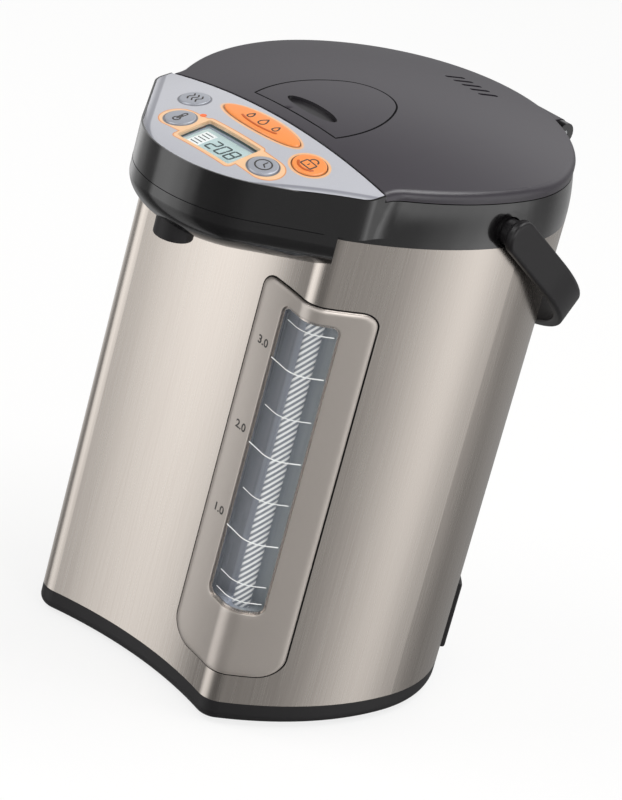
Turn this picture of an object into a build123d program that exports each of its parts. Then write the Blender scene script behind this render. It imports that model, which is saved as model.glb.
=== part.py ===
from build123d import *
from math import asin, atan2, cos, degrees, radians, sin, sqrt, tan
import os

os.makedirs("parts", exist_ok=True)

# Electric thermo pot of four litres. Millimetres, +Z up, the spout towards -Y.
# The origin is where the tank's axis meets the surface that the pot stands on.

# ------------------------------------------------------------------ driving dimensions
# Body, seen from above
half_width = 107.5  # half of the body's width, and the radius of its round back
flank_radius = 186.0  # bow of the flanks
front_y = -103.0  # deepest point of the hollow front
front_radius = 216.0  # bow of the hollow front
ridge_radius = 12.0  # round of the two ridges beside the front

# Heights
foot_height = 1.5
base_top = 14.0
base_round = 6.0  # round under the base's edge
shell_height = 283.0  # of the stainless sheet above the base
collar_height = 25.0
crown_rise = 20.4  # from the collar's edge to the highest point of the lid
lid_gap = 0.5  # parting line between collar and lid
collar_bottom = base_top + shell_height
collar_top = collar_bottom + collar_height
crown = collar_top + crown_rise

# Curves of the collar's wall and of the crowned top
barrel_radius = 108.0  # the wall leans in along an arc of this radius
cross_radius = 390.0  # crown from side to side
long_radius = 596.0  # crown from front to back

# Walls and clearances
shell_wall = 0.8
base_wall = 3.0
base_floor = 3.5
collar_wall = 2.5
lid_wall = 2.5
fit_gap = 0.1  # between a spigot and the sheet around it
free_gap = 0.3  # between pieces that move past each other
run_gap = 0.05  # radial, between a pin and its bore
merge = 1.0  # by which two blocks of one piece reach into each other
spigot_height = 7.0
spigot_wall = 2.5

# Lid's front, and the wall of the beak behind the panel
lid_front_set = 8.5  # lid's front edge behind the hollow front
rear_gap = 0.7  # between the lid and that wall
rear_wall = 2.3
panel_set = 0.5  # panel's rear edge in front of the wall's rear face
lid_front_y = front_y + lid_front_set
beak_rear_y = lid_front_y - rear_gap
beak_front_y = beak_rear_y - rear_wall
panel_rear_y = beak_rear_y - panel_set

# Beak
nose_set = 14.0  # centre of the nose's round in front of the hollow front
nose_radius = 58.0
nose_y = front_y - nose_set
beak_slope = 51.0  # degrees of its straight sides, from the X axis
beak_side_set = 24.5  # beak's side inside the body's widest place
beak_half_width = half_width - beak_side_set
beak_corner = 14.0
beak_blend = 20.0  # hollow round where its sides run into the flanks
beak_depth = 10.5  # by which its straight part runs on behind the lid's front
beak_back_y = lid_front_y + beak_depth
beak_floor = 2.0
seam_rise = 4.0  # seam of cover and collar above the stainless sheet
seam_height = collar_bottom + seam_rise
chin_drop = 6.0  # straight part of the cover under the seam
chin_top = seam_height - chin_drop
chin_reach = 36.0  # width of the rounding under the beak
chin_depth = 20.5  # height of that rounding
chin_wall = 2.5
cover_end_turn = -56.3  # where the cover's end meets the ridge, from +X
cover_end_look = 38.0  # degrees by which the cover's end looks back

# Spout
spout_set = 41.0  # its axis in front of the nose's centre
spout_y = nose_y - spout_set
spout_radius = 11.0
spout_drop = 22.5
spout_bottom = chin_top - spout_drop
spout_round = 1.0
spout_flange = 13.5
spout_flange_wall = 1.5
spout_cup = 9.2  # room for the pipe's bend
spout_cup_depth = 7.0
spout_socket = 14.0

# Control panel
panel_inset = 1.2
panel_wall = 2.2
rabbet_depth = 10.0
cap_gap = 0.25  # round each button
cap_proud = 0.8
cap_travel = 1.0
flange_reach = 1.2
flange_wall = 1.0
stem_radius = 1.8
screen_width = 39.5
screen_depth = 24.7
screen_set = 23.1  # its middle in front of the nose's centre
screen_y = nose_y - screen_set
screen_corner = 1.5
screen_sink = 0.9
screen_wall = 1.2
screen_lap = 1.5  # of the pane under the panel, all round
module_margin = 1.0
module_gap = 2.0  # between the display module and the pane
lamp_x = -26.0
lamp_set = 10.0
lamp_radius = 1.9
board_set = 10.0  # where its plane touches the crowned top, in front of the nose's centre
board_y = nose_y - board_set
board_drop = 12.0  # from the panel's face to the control board
board_wall = 1.6
board_rear_set = 5.8
board_front_set = 35.0
board_rear_half = 56.0
board_front_half = 36.0
board_post_radius = 2.4
rear_post_x = 52.0
rear_post_set = 8.3
front_post_x = 25.5
front_post_set = 32.5
switch_side = 6.0
switch_height = 3.4
dispense_set = 13.1  # in front of the panel's rear edge
dispense_half_length = 28.0
dispense_half_depth = 8.0
rear_key_x = 44.1
rear_key_set = 20.2  # in front of the panel's rear edge
front_key_x = 31.8
front_key_set = 21.1  # in front of the nose's centre
unlock_radius = 9.5
key_radius = 8.4

# Lid
lid_round = 4.5
lid_front_round = 1.0
tray_top = collar_top
tray_wall = 2.5
tray_inset = 7.5
plug_depth = 14.0
plug_bottom = tray_top - plug_depth
steam_y = 48.0
steam_radius = 5.0
steam_holes = 6
lid_posts = ((62, -58), (78, 20), (48, 78))
lid_post_wall = 2.5
inner_lid_wall = 3.0
inner_lid_lap = 2.0  # by which the inner lid covers the plug's edge
gasket_height = 7.0
gasket_gap = 1.2  # to the tank's mouth
gasket_round = 1.0

# Lever in the lid
lever_front_set = 10.5
lever_length = 70.0
lever_front_y = lid_front_y + lever_front_set
lever_tip_y = lever_front_y + lever_length
lever_tip_radius = 24.0
lever_side_radius = 75.0
lever_side_offset = 42.0
lever_gap = 0.6
lever_wall = 3.0
lever_pivot_set = 28.0
lever_pivot_y = lever_front_y + lever_pivot_set
lever_pivot_drop = 4.8
lever_pin_radius = 1.5
lever_pin_half = 38.0
lever_boss_radius = 3.0
lever_boss_start = 16.0
lever_boss_end = 24.0
lid_boss_start = 33.5
recess_set = 13.0
recess_half_length = 18.0
recess_half_width = 6.0
recess_depth = 2.0
latch_half_width = 12.0
latch_pad = 14.0  # half the width of the pad under it
latch_rise = 2.0
latch_bottom = tray_top + latch_rise
latch_height = 4.0
latch_length = 9.6
latch_reach = 0.9  # past the lid's front

# Steam vent
vent_x = -1.0
vent_y = 64.0
vent_slots = 5
vent_pitch = 6.4
vent_slot_width = 2.6
vent_slot_length = 15.0
vent_turn = -10.0
vent_wall = 1.5
vent_margin = 3.0
vent_bar_short = 2.0

# Lid hinge
hinge_set = 4.0  # its pin behind the body's back
hinge_drop = 1.5  # its pin under the collar's edge
hinge_y = half_width + hinge_set
hinge_z = collar_top - hinge_drop
hinge_pin_radius = 2.5
hinge_barrel = 7.4
hinge_half_width = 31.0
tongue_length = 15.5
tongue_step = 10.9  # leaves room for the lid's tray
ear_radius = 7.0
ear_width = 5.5
ear_length = 15.5
ear_crest = 8.5
ear_height = 18.0

# Carrying handle
handle_y = -12.0
handle_drop = 16.0  # its pivot under the collar's edge
handle_z = collar_top - handle_drop
handle_slope = 35.8  # degrees below level, at rest
handle_stand = 6.5  # middle of the strip outside the body's widest place
handle_half_width = half_width + handle_stand
handle_back = 8.8  # middle of the strip behind the body's back
handle_straight = 46.8  # along the strip's plane
handle_reach = (half_width + handle_back - handle_y) / cos(radians(handle_slope))
handle_arch = handle_reach - handle_straight
handle_wall = 6.0
handle_width = 20.0
handle_round = 2.0
hub_radius = 7.6
hub_recess_radius = 8.6
hub_recess_depth = 5.0
hub_pin_radius = 3.0
hub_cover = 4.0  # plastic left over the pin's end
hub_boss_radius = 12.0
hub_boss_length = 9.0

# Level window on the right ridge
window_turn = 19.3  # degrees from the front to the middle of the ridge
trim_proud = 1.5
trim_left = -37.4
trim_right = 30.6
trim_rise = 18.0  # its lower edge above the base
trim_fall = 40.3  # its upper edge under the collar
trim_bottom = base_top + trim_rise
trim_top = collar_bottom - trim_fall
trim_corner = 8.0
glass_proud = 1.1
glass_left = -19.7
glass_right = 16.1
glass_rise = 38.7
glass_fall = 9.0
glass_bottom = trim_bottom + glass_rise
glass_top = trim_top - glass_fall
glass_corner = 5.0
glass_fit = 0.15
glass_lap = 1.5  # of the glass over the sheet behind it
gauge_radius = 5.0
gauge_bore = 4.0
gauge_foot = 12.7  # of the tube under the glass
gauge_head = 12.3  # of the tube above the glass
gauge_bottom = glass_bottom - gauge_foot
gauge_top = glass_top + gauge_head
channel_depth = 9.0
channel_wall = 1.5

# Tank
tank_set = 28.5  # its wall inside the body's widest place
tank_bore = half_width - tank_set
tank_wall = 0.8
tank_rise = 46.0  # its floor above the base
tank_floor = base_top + tank_rise
shoulder_fall = 13.0
neck_rise = 12.0
neck_in = 8.0
tank_shoulder = collar_bottom - shoulder_fall
mouth_radius = tank_bore - neck_in
mouth_bottom = tank_shoulder + neck_rise
flange_width = 10.0
flange_radius = mouth_radius + flange_width
deck_drop = 7.0
deck_wall = 2.5
deck_margin = 3.0
deck_bottom = collar_top - deck_drop
seal_height = 3.0
mouth_top = deck_bottom - seal_height
deck_hole = mouth_radius + deck_margin
seal_margin = 3.5
seal_width = 5.5
seal_inner = mouth_radius + seal_margin
seal_outer = seal_inner + seal_width
jacket_space = 9.0
jacket_rise = 10.0
jacket_radius = tank_bore + jacket_space
jacket_bottom = tank_floor + jacket_rise

# Plug of the lid, which fits the tank's mouth
plug_gap = 7.0
plug_radius = mouth_radius - plug_gap
gasket_radius = mouth_radius - gasket_gap
inner_lid_radius = plug_radius + inner_lid_lap

# Under the tank
support_set = 1.0
support_radius = jacket_radius - support_set
support_wall = 3.0
support_lap = 3.0  # of its lip under the tank
support_lip = tank_bore - support_lap
support_windows = 6
support_window_turn = 30.0
heater_radius = 44.0
heater_hole = 16.0
heater_wall = 4.0
sensor_radius = 11.0
sensor_height = 9.0
sensor_tab_width = 5.0
sensor_tab_wall = 1.0
sensor_tab_length = 8.0
pump_x = 44.0
pump_y = -34.0
pump_radius = 20.0
pump_bottom = 27.0
pump_height = 16.0
pump_top = pump_bottom + pump_height
pump_wall = 2.0
impeller_radius = 15.0
impeller_gap = 1.0
impeller_disc = 2.0
impeller_blades = 6
blade_height = 5.0
blade_length = 10.5
blade_wall = 1.2
blade_middle = 8.55  # radius at the middle of a blade
impeller_hub = 4.5
motor_radius = 16.0
motor_wall = 3.0
shaft_radius = 1.5
shaft_length = 6.0
pipe_radius = 4.5
pipe_bore = 3.2
pipe_bend = 12.0
pipe_foot_radius = 8.0
pipe_foot_height = 2.0
delivery_rise = 9.5  # where the pipe leaves the ridge, above the collar's lower edge
delivery_end_rise = 1.0  # above the seam, at the spout
delivery_foot_rise = 7.5  # its end above the spout's lower edge
power_board_length = 58.0
power_board_width = 52.0
power_board_x = -34.0
power_board_y = 14.0
transformer_x = -8.0  # from the board's middle, as are the next places
transformer_y = 6.0
transformer_length = 26.0
transformer_width = 22.0
transformer_height = 18.0
capacitor_x = 16.0
capacitor_y = 10.0
capacitor_radius = 6.0
relay_x = 14.0
relay_y = -9.0
relay_length = 16.0
relay_width = 12.0
component_height = 14.0  # of the capacitor and the relay
post_height = 8.0
post_radius = 3.5
screw_radius = 1.5
screw_head_radius = 3.0
screw_head_height = 2.0
flat_head_height = 0.75
screw_length = 5.0  # of the lid's screws, above its tray

# Underside
foot_set = 14.5  # ring's outer edge inside the body's widest place
foot_width = 8.0
foot_outer = half_width - foot_set
foot_inner = foot_outer - foot_width
foot_round = 0.5
bottom_set = 2.3
bottom_lap = 6.7
bottom_radius = foot_inner - bottom_set
bottom_opening = bottom_radius - bottom_lap
bottom_wall = 2.0
bottom_screw_circle = (bottom_radius + bottom_opening) / 2
bottom_screws_count = 6

# Power inlet at the right of the back
inlet_turn = 55.0  # degrees from +X
inlet_half_width = 25.0
inlet_bottom = 16.0
inlet_height = 42.0
inlet_top = inlet_bottom + inlet_height
inlet_proud = 3.5
inlet_depth = 12.0
inlet_round = 1.5
socket_half_width = 16.0
socket_rise = 12.0
socket_height = 16.0
socket_corner = 3.0
socket_depth = 9.0
contact_radius = 2.0
contact_offset = 9.5
contact_length = 6.5

# ------------------------------------------------------------------ shared geometry
tall = crown + 10  # top of every cutting prism


def along(angle):
    """Unit vector at an angle from +X, in degrees."""
    return Vector(cos(radians(angle)), sin(radians(angle)))


def crossing(centre_a, radius_a, centre_b, radius_b):
    """The crossing of two circles that lies further to the right."""
    between = centre_b - centre_a
    gap = between.length
    reach = (radius_a**2 - radius_b**2 + gap**2) / (2 * gap)
    rise = sqrt(radius_a**2 - reach**2)
    middle = centre_a + between * (reach / gap)
    aside = Vector(between.Y, -between.X) * (rise / gap)
    return max(middle + aside, middle - aside, key=lambda point: point.X)


front_centre = Vector(0, front_y - front_radius)
flank_centre = Vector(half_width - flank_radius, 0)
ridge_centre = crossing(
    front_centre, front_radius + ridge_radius, flank_centre, flank_radius - ridge_radius
)
front_turn = degrees(atan2(ridge_centre.Y - front_centre.Y, ridge_centre.X))
flank_turn = degrees(atan2(ridge_centre.Y, ridge_centre.X - flank_centre.X))


def body_outline(inset):
    """The body from above, drawn in by inset: hollow front, two ridges, bowed flanks, round back."""
    with BuildLine() as outline:
        CenterArc(front_centre, front_radius + inset, 90, front_turn - 90)
        CenterArc(ridge_centre, ridge_radius - inset, front_turn + 180, 180 + flank_turn - front_turn)
        CenterArc(flank_centre, flank_radius - inset, flank_turn, -flank_turn)
        CenterArc((0, 0), half_width - inset, 0, 90)
        mirror(about=Plane.YZ)
    return outline.line


def beak_corners(inset):
    """Ends of the beak's straight sides, drawn in by inset, on the right."""
    side = beak_half_width - inset
    corner = max(beak_corner - inset, 2.0)
    way = along(beak_slope)
    leave = Vector(0, nose_y) + along(beak_slope - 90) * (nose_radius - inset)
    knee = leave + way * ((side - leave.X) / way.X)
    trim = corner * tan(radians(90 - beak_slope) / 2)
    return leave, knee - way * trim, knee + Vector(0, trim), corner


def collar_outline(lean, inset):
    """Body and beak from above as one outline: the body drawn in by lean, then all of it by inset."""
    leave, arrive, turned, corner = beak_corners(inset)
    flank = flank_radius - lean - inset
    blend = beak_blend + inset
    reach = turned.X + blend - flank_centre.X
    blend_centre = Vector(turned.X + blend, -sqrt((flank + blend) ** 2 - reach**2))
    turn = degrees(atan2(blend_centre.Y, reach))
    with BuildLine() as outline:
        CenterArc((0, nose_y), nose_radius - inset, -90, beak_slope)
        Line(leave, arrive)
        CenterArc(turned - Vector(corner, 0), corner, beak_slope - 90, 90 - beak_slope)
        Line(turned, (turned.X, blend_centre.Y))
        CenterArc(blend_centre, blend, 180, turn)
        CenterArc(flank_centre, flank, turn, -turn)
        CenterArc((0, 0), half_width - lean - inset, 0, 90)
        mirror(about=Plane.YZ)
    return outline.line


def beak_outline(inset):
    """The beak from above, drawn in by inset: round nose, straight sides, round corners, square back."""
    leave, arrive, turned, corner = beak_corners(inset)
    with BuildLine() as outline:
        CenterArc((0, nose_y), nose_radius - inset, -90, beak_slope)
        Line(leave, arrive)
        CenterArc(turned - Vector(corner, 0), corner, beak_slope - 90, 90 - beak_slope)
        Line(turned, (turned.X, beak_back_y))
        Line((turned.X, beak_back_y), (0, beak_back_y))
        mirror(about=Plane.YZ)
    return outline.line


def prism(outline, bottom, top):
    """A solid of one outline between two heights."""
    with BuildPart() as solid:
        with BuildSketch(Plane.XY.offset(bottom)):
            make_face(outline.edges())
        extrude(amount=top - bottom)
    return solid.part


def tower(outline, levels, ruled=False):
    """A solid through one outline's insets at several heights, given as (height, inset)."""
    faces = []
    for height, inset in levels:
        with BuildSketch(Plane.XY.offset(height)) as level:
            make_face(outline(inset).edges())
        faces.append(level.sketch)
    with BuildPart() as solid:
        loft(faces, ruled=ruled)
    return solid.part


def barrel_inset(height):
    """How far the collar's wall has leaned in at a height."""
    return barrel_radius - sqrt(barrel_radius**2 - (height - collar_bottom) ** 2)


def dome_radius(x):
    """Distance of the crowned top from its long axis, at a place across the pot."""
    return long_radius - cross_radius + sqrt(cross_radius**2 - x**2)


dome_axis = crown - long_radius


def dome_height(x, y):
    """Height of the crowned top."""
    return dome_axis + sqrt(dome_radius(x) ** 2 - y**2)


def dome(drop):
    """The solid under the crowned top, drop below it: an arc turned about an axis along X."""
    reach = half_width + 20
    low = dome_axis - dome_radius(reach) + drop
    with BuildPart() as solid:
        with BuildSketch(Plane.XZ):
            with BuildLine():
                Line((-reach, dome_axis), (reach, dome_axis))
                Line((reach, dome_axis), (reach, low))
                ThreePointArc((reach, low), (0, dome_axis - long_radius + drop), (-reach, low))
                Line((-reach, low), (-reach, dome_axis))
            make_face()
        revolve(axis=Axis((0, 0, dome_axis), (1, 0, 0)))
    return solid.part


def touching_plane(x, y):
    """The plane that touches the crowned top at a place, its own x axis level."""
    radius = dome_radius(x)
    normal = Vector(x / sqrt(cross_radius**2 - x**2), y / radius, sqrt(1 - (y / radius) ** 2))
    return Plane((x, y, dome_height(x, y)), x_dir=(normal.Z, 0, -normal.X), z_dir=normal)


inlet_out = along(inlet_turn)
inlet_plane = Plane(
    (inlet_out.X * half_width, inlet_out.Y * half_width, 0),
    x_dir=(-inlet_out.Y, inlet_out.X, 0),
    z_dir=(inlet_out.X, inlet_out.Y, 0),
)
with BuildPart() as inlet_hole:
    with BuildSketch(inlet_plane.offset(-inlet_depth)):
        with Locations((0, (inlet_bottom + inlet_top) / 2)):
            Rectangle(2 * (inlet_half_width + free_gap), inlet_top - inlet_bottom + 2 * free_gap)
    extrude(amount=2 * inlet_depth)

# ------------------------------------------------------------------ base
with BuildPart() as base_rim:
    add(prism(body_outline(0), foot_height, base_top))
    fillet(base_rim.faces().sort_by(Axis.Z)[0].edges(), base_round)
    add(prism(body_outline(shell_wall + fit_gap), base_top, base_top + spigot_height))
    add(prism(body_outline(base_wall + fit_gap), foot_height + base_floor, tall), mode=Mode.SUBTRACT)
    with BuildSketch(Plane.XY.offset(foot_height)):
        Circle(bottom_radius + free_gap)
    extrude(amount=bottom_wall, mode=Mode.SUBTRACT)
    with BuildSketch(Plane.XY.offset(foot_height)):
        Circle(bottom_opening)
    extrude(amount=base_floor, mode=Mode.SUBTRACT)
    with BuildSketch(Plane.XY.offset(foot_height)):
        with PolarLocations(bottom_screw_circle, bottom_screws_count):
            Circle(screw_radius)
    extrude(amount=base_floor, mode=Mode.SUBTRACT)
    add(inlet_hole.part, mode=Mode.SUBTRACT)
base_rim.part.label = "base_rim"
export_step(base_rim.part, "parts/base_rim.step")

with BuildPart() as foot_ring:
    with BuildSketch():
        Circle(foot_outer)
        Circle(foot_inner, mode=Mode.SUBTRACT)
    extrude(amount=foot_height)
    fillet(foot_ring.edges().group_by(Axis.Z)[0], foot_round)
foot_ring.part.label = "foot_ring"
export_step(foot_ring.part, "parts/foot_ring.step")

cover_top = foot_height + bottom_wall
posts = GridLocations(
    power_board_length - 2 * post_radius, power_board_width - 2 * post_radius, 2, 2
).locations
post_places = [Location((power_board_x, power_board_y, 0)) * place for place in posts]
with BuildPart() as bottom_cover:
    with BuildSketch(Plane.XY.offset(foot_height)):
        Circle(bottom_radius)
        with PolarLocations(bottom_screw_circle, bottom_screws_count):
            Circle(screw_radius + fit_gap, mode=Mode.SUBTRACT)
    extrude(amount=bottom_wall)
    with BuildSketch(Plane.XY.offset(cover_top)):
        with Locations(post_places):
            Circle(post_radius)
    extrude(amount=post_height)
    with BuildSketch(Plane.XY.offset(cover_top)):
        with Locations((pump_x, pump_y)):
            Circle(motor_radius + fit_gap + motor_wall)
            Circle(motor_radius + fit_gap, mode=Mode.SUBTRACT)
    extrude(amount=post_height)
bottom_cover.part.label = "bottom_cover"
export_step(bottom_cover.part, "parts/bottom_cover.step")

with BuildPart() as bottom_screws:
    with BuildSketch(Plane.XY.offset(foot_height)):
        with PolarLocations(bottom_screw_circle, bottom_screws_count):
            Circle(screw_radius)
    extrude(amount=base_floor)
    with BuildSketch(Plane.XY.offset(foot_height)):
        with PolarLocations(bottom_screw_circle, bottom_screws_count):
            Circle(screw_head_radius)
    extrude(amount=-flat_head_height)
bottom_screws.part.label = "bottom_screws"
export_step(bottom_screws.part, "parts/bottom_screws.step")

# ------------------------------------------------------------------ body shell and its window
window_normal = Vector(sin(radians(window_turn)), -cos(radians(window_turn)))
window_across = Vector(cos(radians(window_turn)), sin(radians(window_turn)))
window_plane = Plane(
    (ridge_centre.X, ridge_centre.Y, 0),
    x_dir=(window_across.X, window_across.Y, 0),
    z_dir=(window_normal.X, window_normal.Y, 0),
)


def window_block(left, right, bottom, top, corner):
    """A rounded rectangle pushed outwards through the right ridge."""
    with BuildPart() as block:
        with BuildSketch(window_plane):
            with Locations(((left + right) / 2, (bottom + top) / 2)):
                RectangleRounded(right - left, top - bottom, corner)
        extrude(amount=4 * ridge_radius, both=True)
    return block.part


trim_block = window_block(trim_left, trim_right, trim_bottom, trim_top, trim_corner)
glass_block = window_block(glass_left, glass_right, glass_bottom, glass_top, glass_corner)
trim_hole = window_block(
    glass_left - glass_fit,
    glass_right + glass_fit,
    glass_bottom - glass_fit,
    glass_top + glass_fit,
    glass_corner + glass_fit,
)
shell_hole = window_block(
    glass_left + glass_lap,
    glass_right - glass_lap,
    glass_bottom + glass_lap,
    glass_top - glass_lap,
    glass_corner - glass_lap,
)

with BuildPart() as body_shell:
    add(prism(body_outline(0), base_top, collar_bottom))
    add(prism(body_outline(shell_wall), base_top, collar_bottom), mode=Mode.SUBTRACT)
    add(shell_hole, mode=Mode.SUBTRACT)
    add(inlet_hole.part, mode=Mode.SUBTRACT)
body_shell.part.label = "body_shell"
export_step(body_shell.part, "parts/body_shell.step")

with BuildPart() as window_trim:
    add(prism(body_outline(-trim_proud), trim_bottom, trim_top))
    add(prism(body_outline(0), trim_bottom, trim_top), mode=Mode.SUBTRACT)
    add(trim_block, mode=Mode.INTERSECT)
    add(trim_hole, mode=Mode.SUBTRACT)
window_trim.part.label = "window_trim"
export_step(window_trim.part, "parts/window_trim.step")

with BuildPart() as window_glass:
    add(prism(body_outline(-glass_proud), glass_bottom, glass_top))
    add(prism(body_outline(0), glass_bottom, glass_top), mode=Mode.SUBTRACT)
    add(glass_block, mode=Mode.INTERSECT)
window_glass.part.label = "window_glass"
export_step(window_glass.part, "parts/window_glass.step")

channel_bottom = glass_bottom - channel_wall
channel_top = glass_top + channel_wall
channel_reach = prism(body_outline(shell_wall + fit_gap), channel_bottom, channel_top)
with BuildPart() as gauge_channel:
    with BuildSketch(window_plane.offset(-channel_depth)):
        with Locations(((glass_left + glass_right) / 2, (channel_bottom + channel_top) / 2)):
            Rectangle(glass_right - glass_left + 2 * channel_wall, channel_top - channel_bottom)
    extrude(amount=channel_depth + 2 * ridge_radius)
    with BuildSketch(window_plane.offset(channel_wall - channel_depth)):
        with Locations(((glass_left + glass_right) / 2, (glass_bottom + glass_top) / 2)):
            Rectangle(glass_right - glass_left, glass_top - glass_bottom)
    extrude(amount=channel_depth + 2 * ridge_radius, mode=Mode.SUBTRACT)
    add(channel_reach, mode=Mode.INTERSECT)
    with BuildSketch(Plane.XY.offset(channel_bottom)):
        with Locations(ridge_centre):
            Circle(gauge_radius + free_gap)
    extrude(amount=channel_top - channel_bottom, mode=Mode.SUBTRACT)
gauge_channel.part.label = "gauge_channel"
export_step(gauge_channel.part, "parts/gauge_channel.step")

with BuildPart() as gauge_tube:
    with BuildSketch(Plane.XY.offset(gauge_bottom)):
        with Locations(ridge_centre):
            Circle(gauge_radius)
            Circle(gauge_bore, mode=Mode.SUBTRACT)
    extrude(amount=gauge_top - gauge_bottom)
gauge_tube.part.label = "gauge_tube"
export_step(gauge_tube.part, "parts/gauge_tube.step")

# ------------------------------------------------------------------ tank
with BuildPart() as inner_tank:
    with BuildSketch(Plane.XZ):
        with BuildLine():
            Polyline(
                (0, tank_floor),
                (tank_bore, tank_floor),
                (tank_bore, tank_shoulder),
                (mouth_radius, mouth_bottom),
                (mouth_radius, mouth_top),
                (flange_radius, mouth_top),
                (flange_radius, mouth_top - tank_wall),
                (mouth_radius + tank_wall, mouth_top - tank_wall),
                (mouth_radius + tank_wall, mouth_bottom + tank_wall / 2),
                (tank_bore + tank_wall, tank_shoulder + tank_wall / 2),
                (tank_bore + tank_wall, tank_floor - tank_wall),
                (0, tank_floor - tank_wall),
                close=True,
            )
        make_face()
    revolve(axis=Axis.Z)
    with BuildSketch(Plane.XY.offset(tank_floor - tank_wall)):
        with Locations((pump_x, pump_y)):
            Circle(pipe_bore)
    extrude(amount=tank_wall, mode=Mode.SUBTRACT)
inner_tank.part.label = "inner_tank"
export_step(inner_tank.part, "parts/inner_tank.step")

jacket_inside = tank_bore + tank_wall
with BuildPart() as vacuum_jacket:
    with BuildSketch(Plane.XZ):
        with BuildLine():
            Polyline(
                (jacket_inside, jacket_bottom),
                (jacket_radius, jacket_bottom),
                (jacket_radius, tank_shoulder - tank_wall),
                (jacket_inside, tank_shoulder - tank_wall),
                (jacket_inside, tank_shoulder - 2 * tank_wall),
                (jacket_radius - tank_wall, tank_shoulder - 2 * tank_wall),
                (jacket_radius - tank_wall, jacket_bottom + tank_wall),
                (jacket_inside, jacket_bottom + tank_wall),
                close=True,
            )
        make_face()
    revolve(axis=Axis.Z)
vacuum_jacket.part.label = "vacuum_jacket"
export_step(vacuum_jacket.part, "parts/vacuum_jacket.step")

with BuildPart() as mouth_seal:
    with BuildSketch(Plane.XY.offset(mouth_top)):
        Circle(seal_outer)
        Circle(seal_inner, mode=Mode.SUBTRACT)
    extrude(amount=deck_bottom - mouth_top)
mouth_seal.part.label = "mouth_seal"
export_step(mouth_seal.part, "parts/mouth_seal.step")

support_top = tank_floor - tank_wall
gauge_turn = degrees(atan2(ridge_centre.Y, ridge_centre.X))
with BuildPart() as tank_support:
    with BuildSketch(Plane.XZ):
        with BuildLine():
            Polyline(
                (support_radius - support_wall, foot_height + base_floor),
                (support_radius, foot_height + base_floor),
                (support_radius, support_top),
                (support_lip, support_top),
                (support_lip, support_top - support_wall),
                (support_radius - support_wall, support_top - support_wall),
                close=True,
            )
        make_face()
    revolve(axis=Axis.Z)
    with BuildSketch(Plane.XY.offset(foot_height + base_floor + support_wall)):
        with PolarLocations(support_radius, support_windows, start_angle=gauge_turn):
            Rectangle(
                4 * support_wall, 2 * support_radius * sin(radians(support_window_turn / 2))
            )
    extrude(amount=support_top - foot_height - base_floor - 3 * support_wall, mode=Mode.SUBTRACT)
tank_support.part.label = "tank_support"
export_step(tank_support.part, "parts/tank_support.step")

with BuildPart() as heater_plate:
    with BuildSketch(Plane.XY.offset(support_top)):
        Circle(heater_radius)
        Circle(heater_hole, mode=Mode.SUBTRACT)
    extrude(amount=-heater_wall)
heater_plate.part.label = "heater_plate"
export_step(heater_plate.part, "parts/heater_plate.step")

with BuildPart() as thermostat:
    with BuildSketch(Plane.XY.offset(support_top)):
        Circle(sensor_radius)
    extrude(amount=-sensor_height)
    with BuildSketch(Plane.XY.offset(support_top - sensor_height)):
        with GridLocations(sensor_radius, sensor_tab_width, 2, 1):
            Rectangle(sensor_tab_wall, sensor_tab_width)
    extrude(amount=-sensor_tab_length)
thermostat.part.label = "thermostat"
export_step(thermostat.part, "parts/thermostat.step")

# ------------------------------------------------------------------ pump
hose_out = Vector(ridge_centre.X - pump_x, ridge_centre.Y - pump_y)
hose_out = hose_out * (1 / hose_out.length)
hose_z = (pump_bottom + pump_top) / 2
hose_start = Vector(pump_x, pump_y, hose_z) + Vector(hose_out.X, hose_out.Y, 0) * pump_radius

with BuildPart() as suction_pipe:
    with BuildSketch(Plane.XY.offset(pump_top)):
        with Locations((pump_x, pump_y)):
            Circle(pipe_radius)
    extrude(amount=support_top - pump_top)
    with BuildSketch(Plane.XY.offset(support_top - pipe_foot_height)):
        with Locations((pump_x, pump_y)):
            Circle(pipe_foot_radius)
    extrude(amount=pipe_foot_height)
    with BuildSketch(Plane.XY.offset(pump_top)):
        with Locations((pump_x, pump_y)):
            Circle(pipe_bore)
    extrude(amount=support_top - pump_top, mode=Mode.SUBTRACT)
suction_pipe.part.label = "suction_pipe"
export_step(suction_pipe.part, "parts/suction_pipe.step")

with BuildPart() as pump_housing:
    with BuildSketch(Plane.XY.offset(pump_bottom)):
        with Locations((pump_x, pump_y)):
            Circle(pump_radius)
    extrude(amount=pump_top - pump_bottom)
    with BuildSketch(Plane.XY.offset(pump_bottom + pump_wall)):
        with Locations((pump_x, pump_y)):
            Circle(pump_radius - pump_wall)
    extrude(amount=pump_top - pump_bottom - 2 * pump_wall, mode=Mode.SUBTRACT)
    with BuildSketch(Plane.XY.offset(pump_top - pump_wall)):
        with Locations((pump_x, pump_y)):
            Circle(pipe_bore)
    extrude(amount=pump_wall, mode=Mode.SUBTRACT)
    with BuildSketch(Plane.XY.offset(pump_bottom)):
        with Locations((pump_x, pump_y)):
            Circle(shaft_radius + run_gap)
    extrude(amount=pump_wall, mode=Mode.SUBTRACT)
    with BuildSketch(Plane(hose_start, x_dir=(0, 0, 1), z_dir=(hose_out.X, hose_out.Y, 0))):
        Circle(pipe_bore)
    extrude(amount=-2 * pump_wall, mode=Mode.SUBTRACT)
pump_housing.part.label = "pump_housing"
export_step(pump_housing.part, "parts/pump_housing.step")

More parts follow.
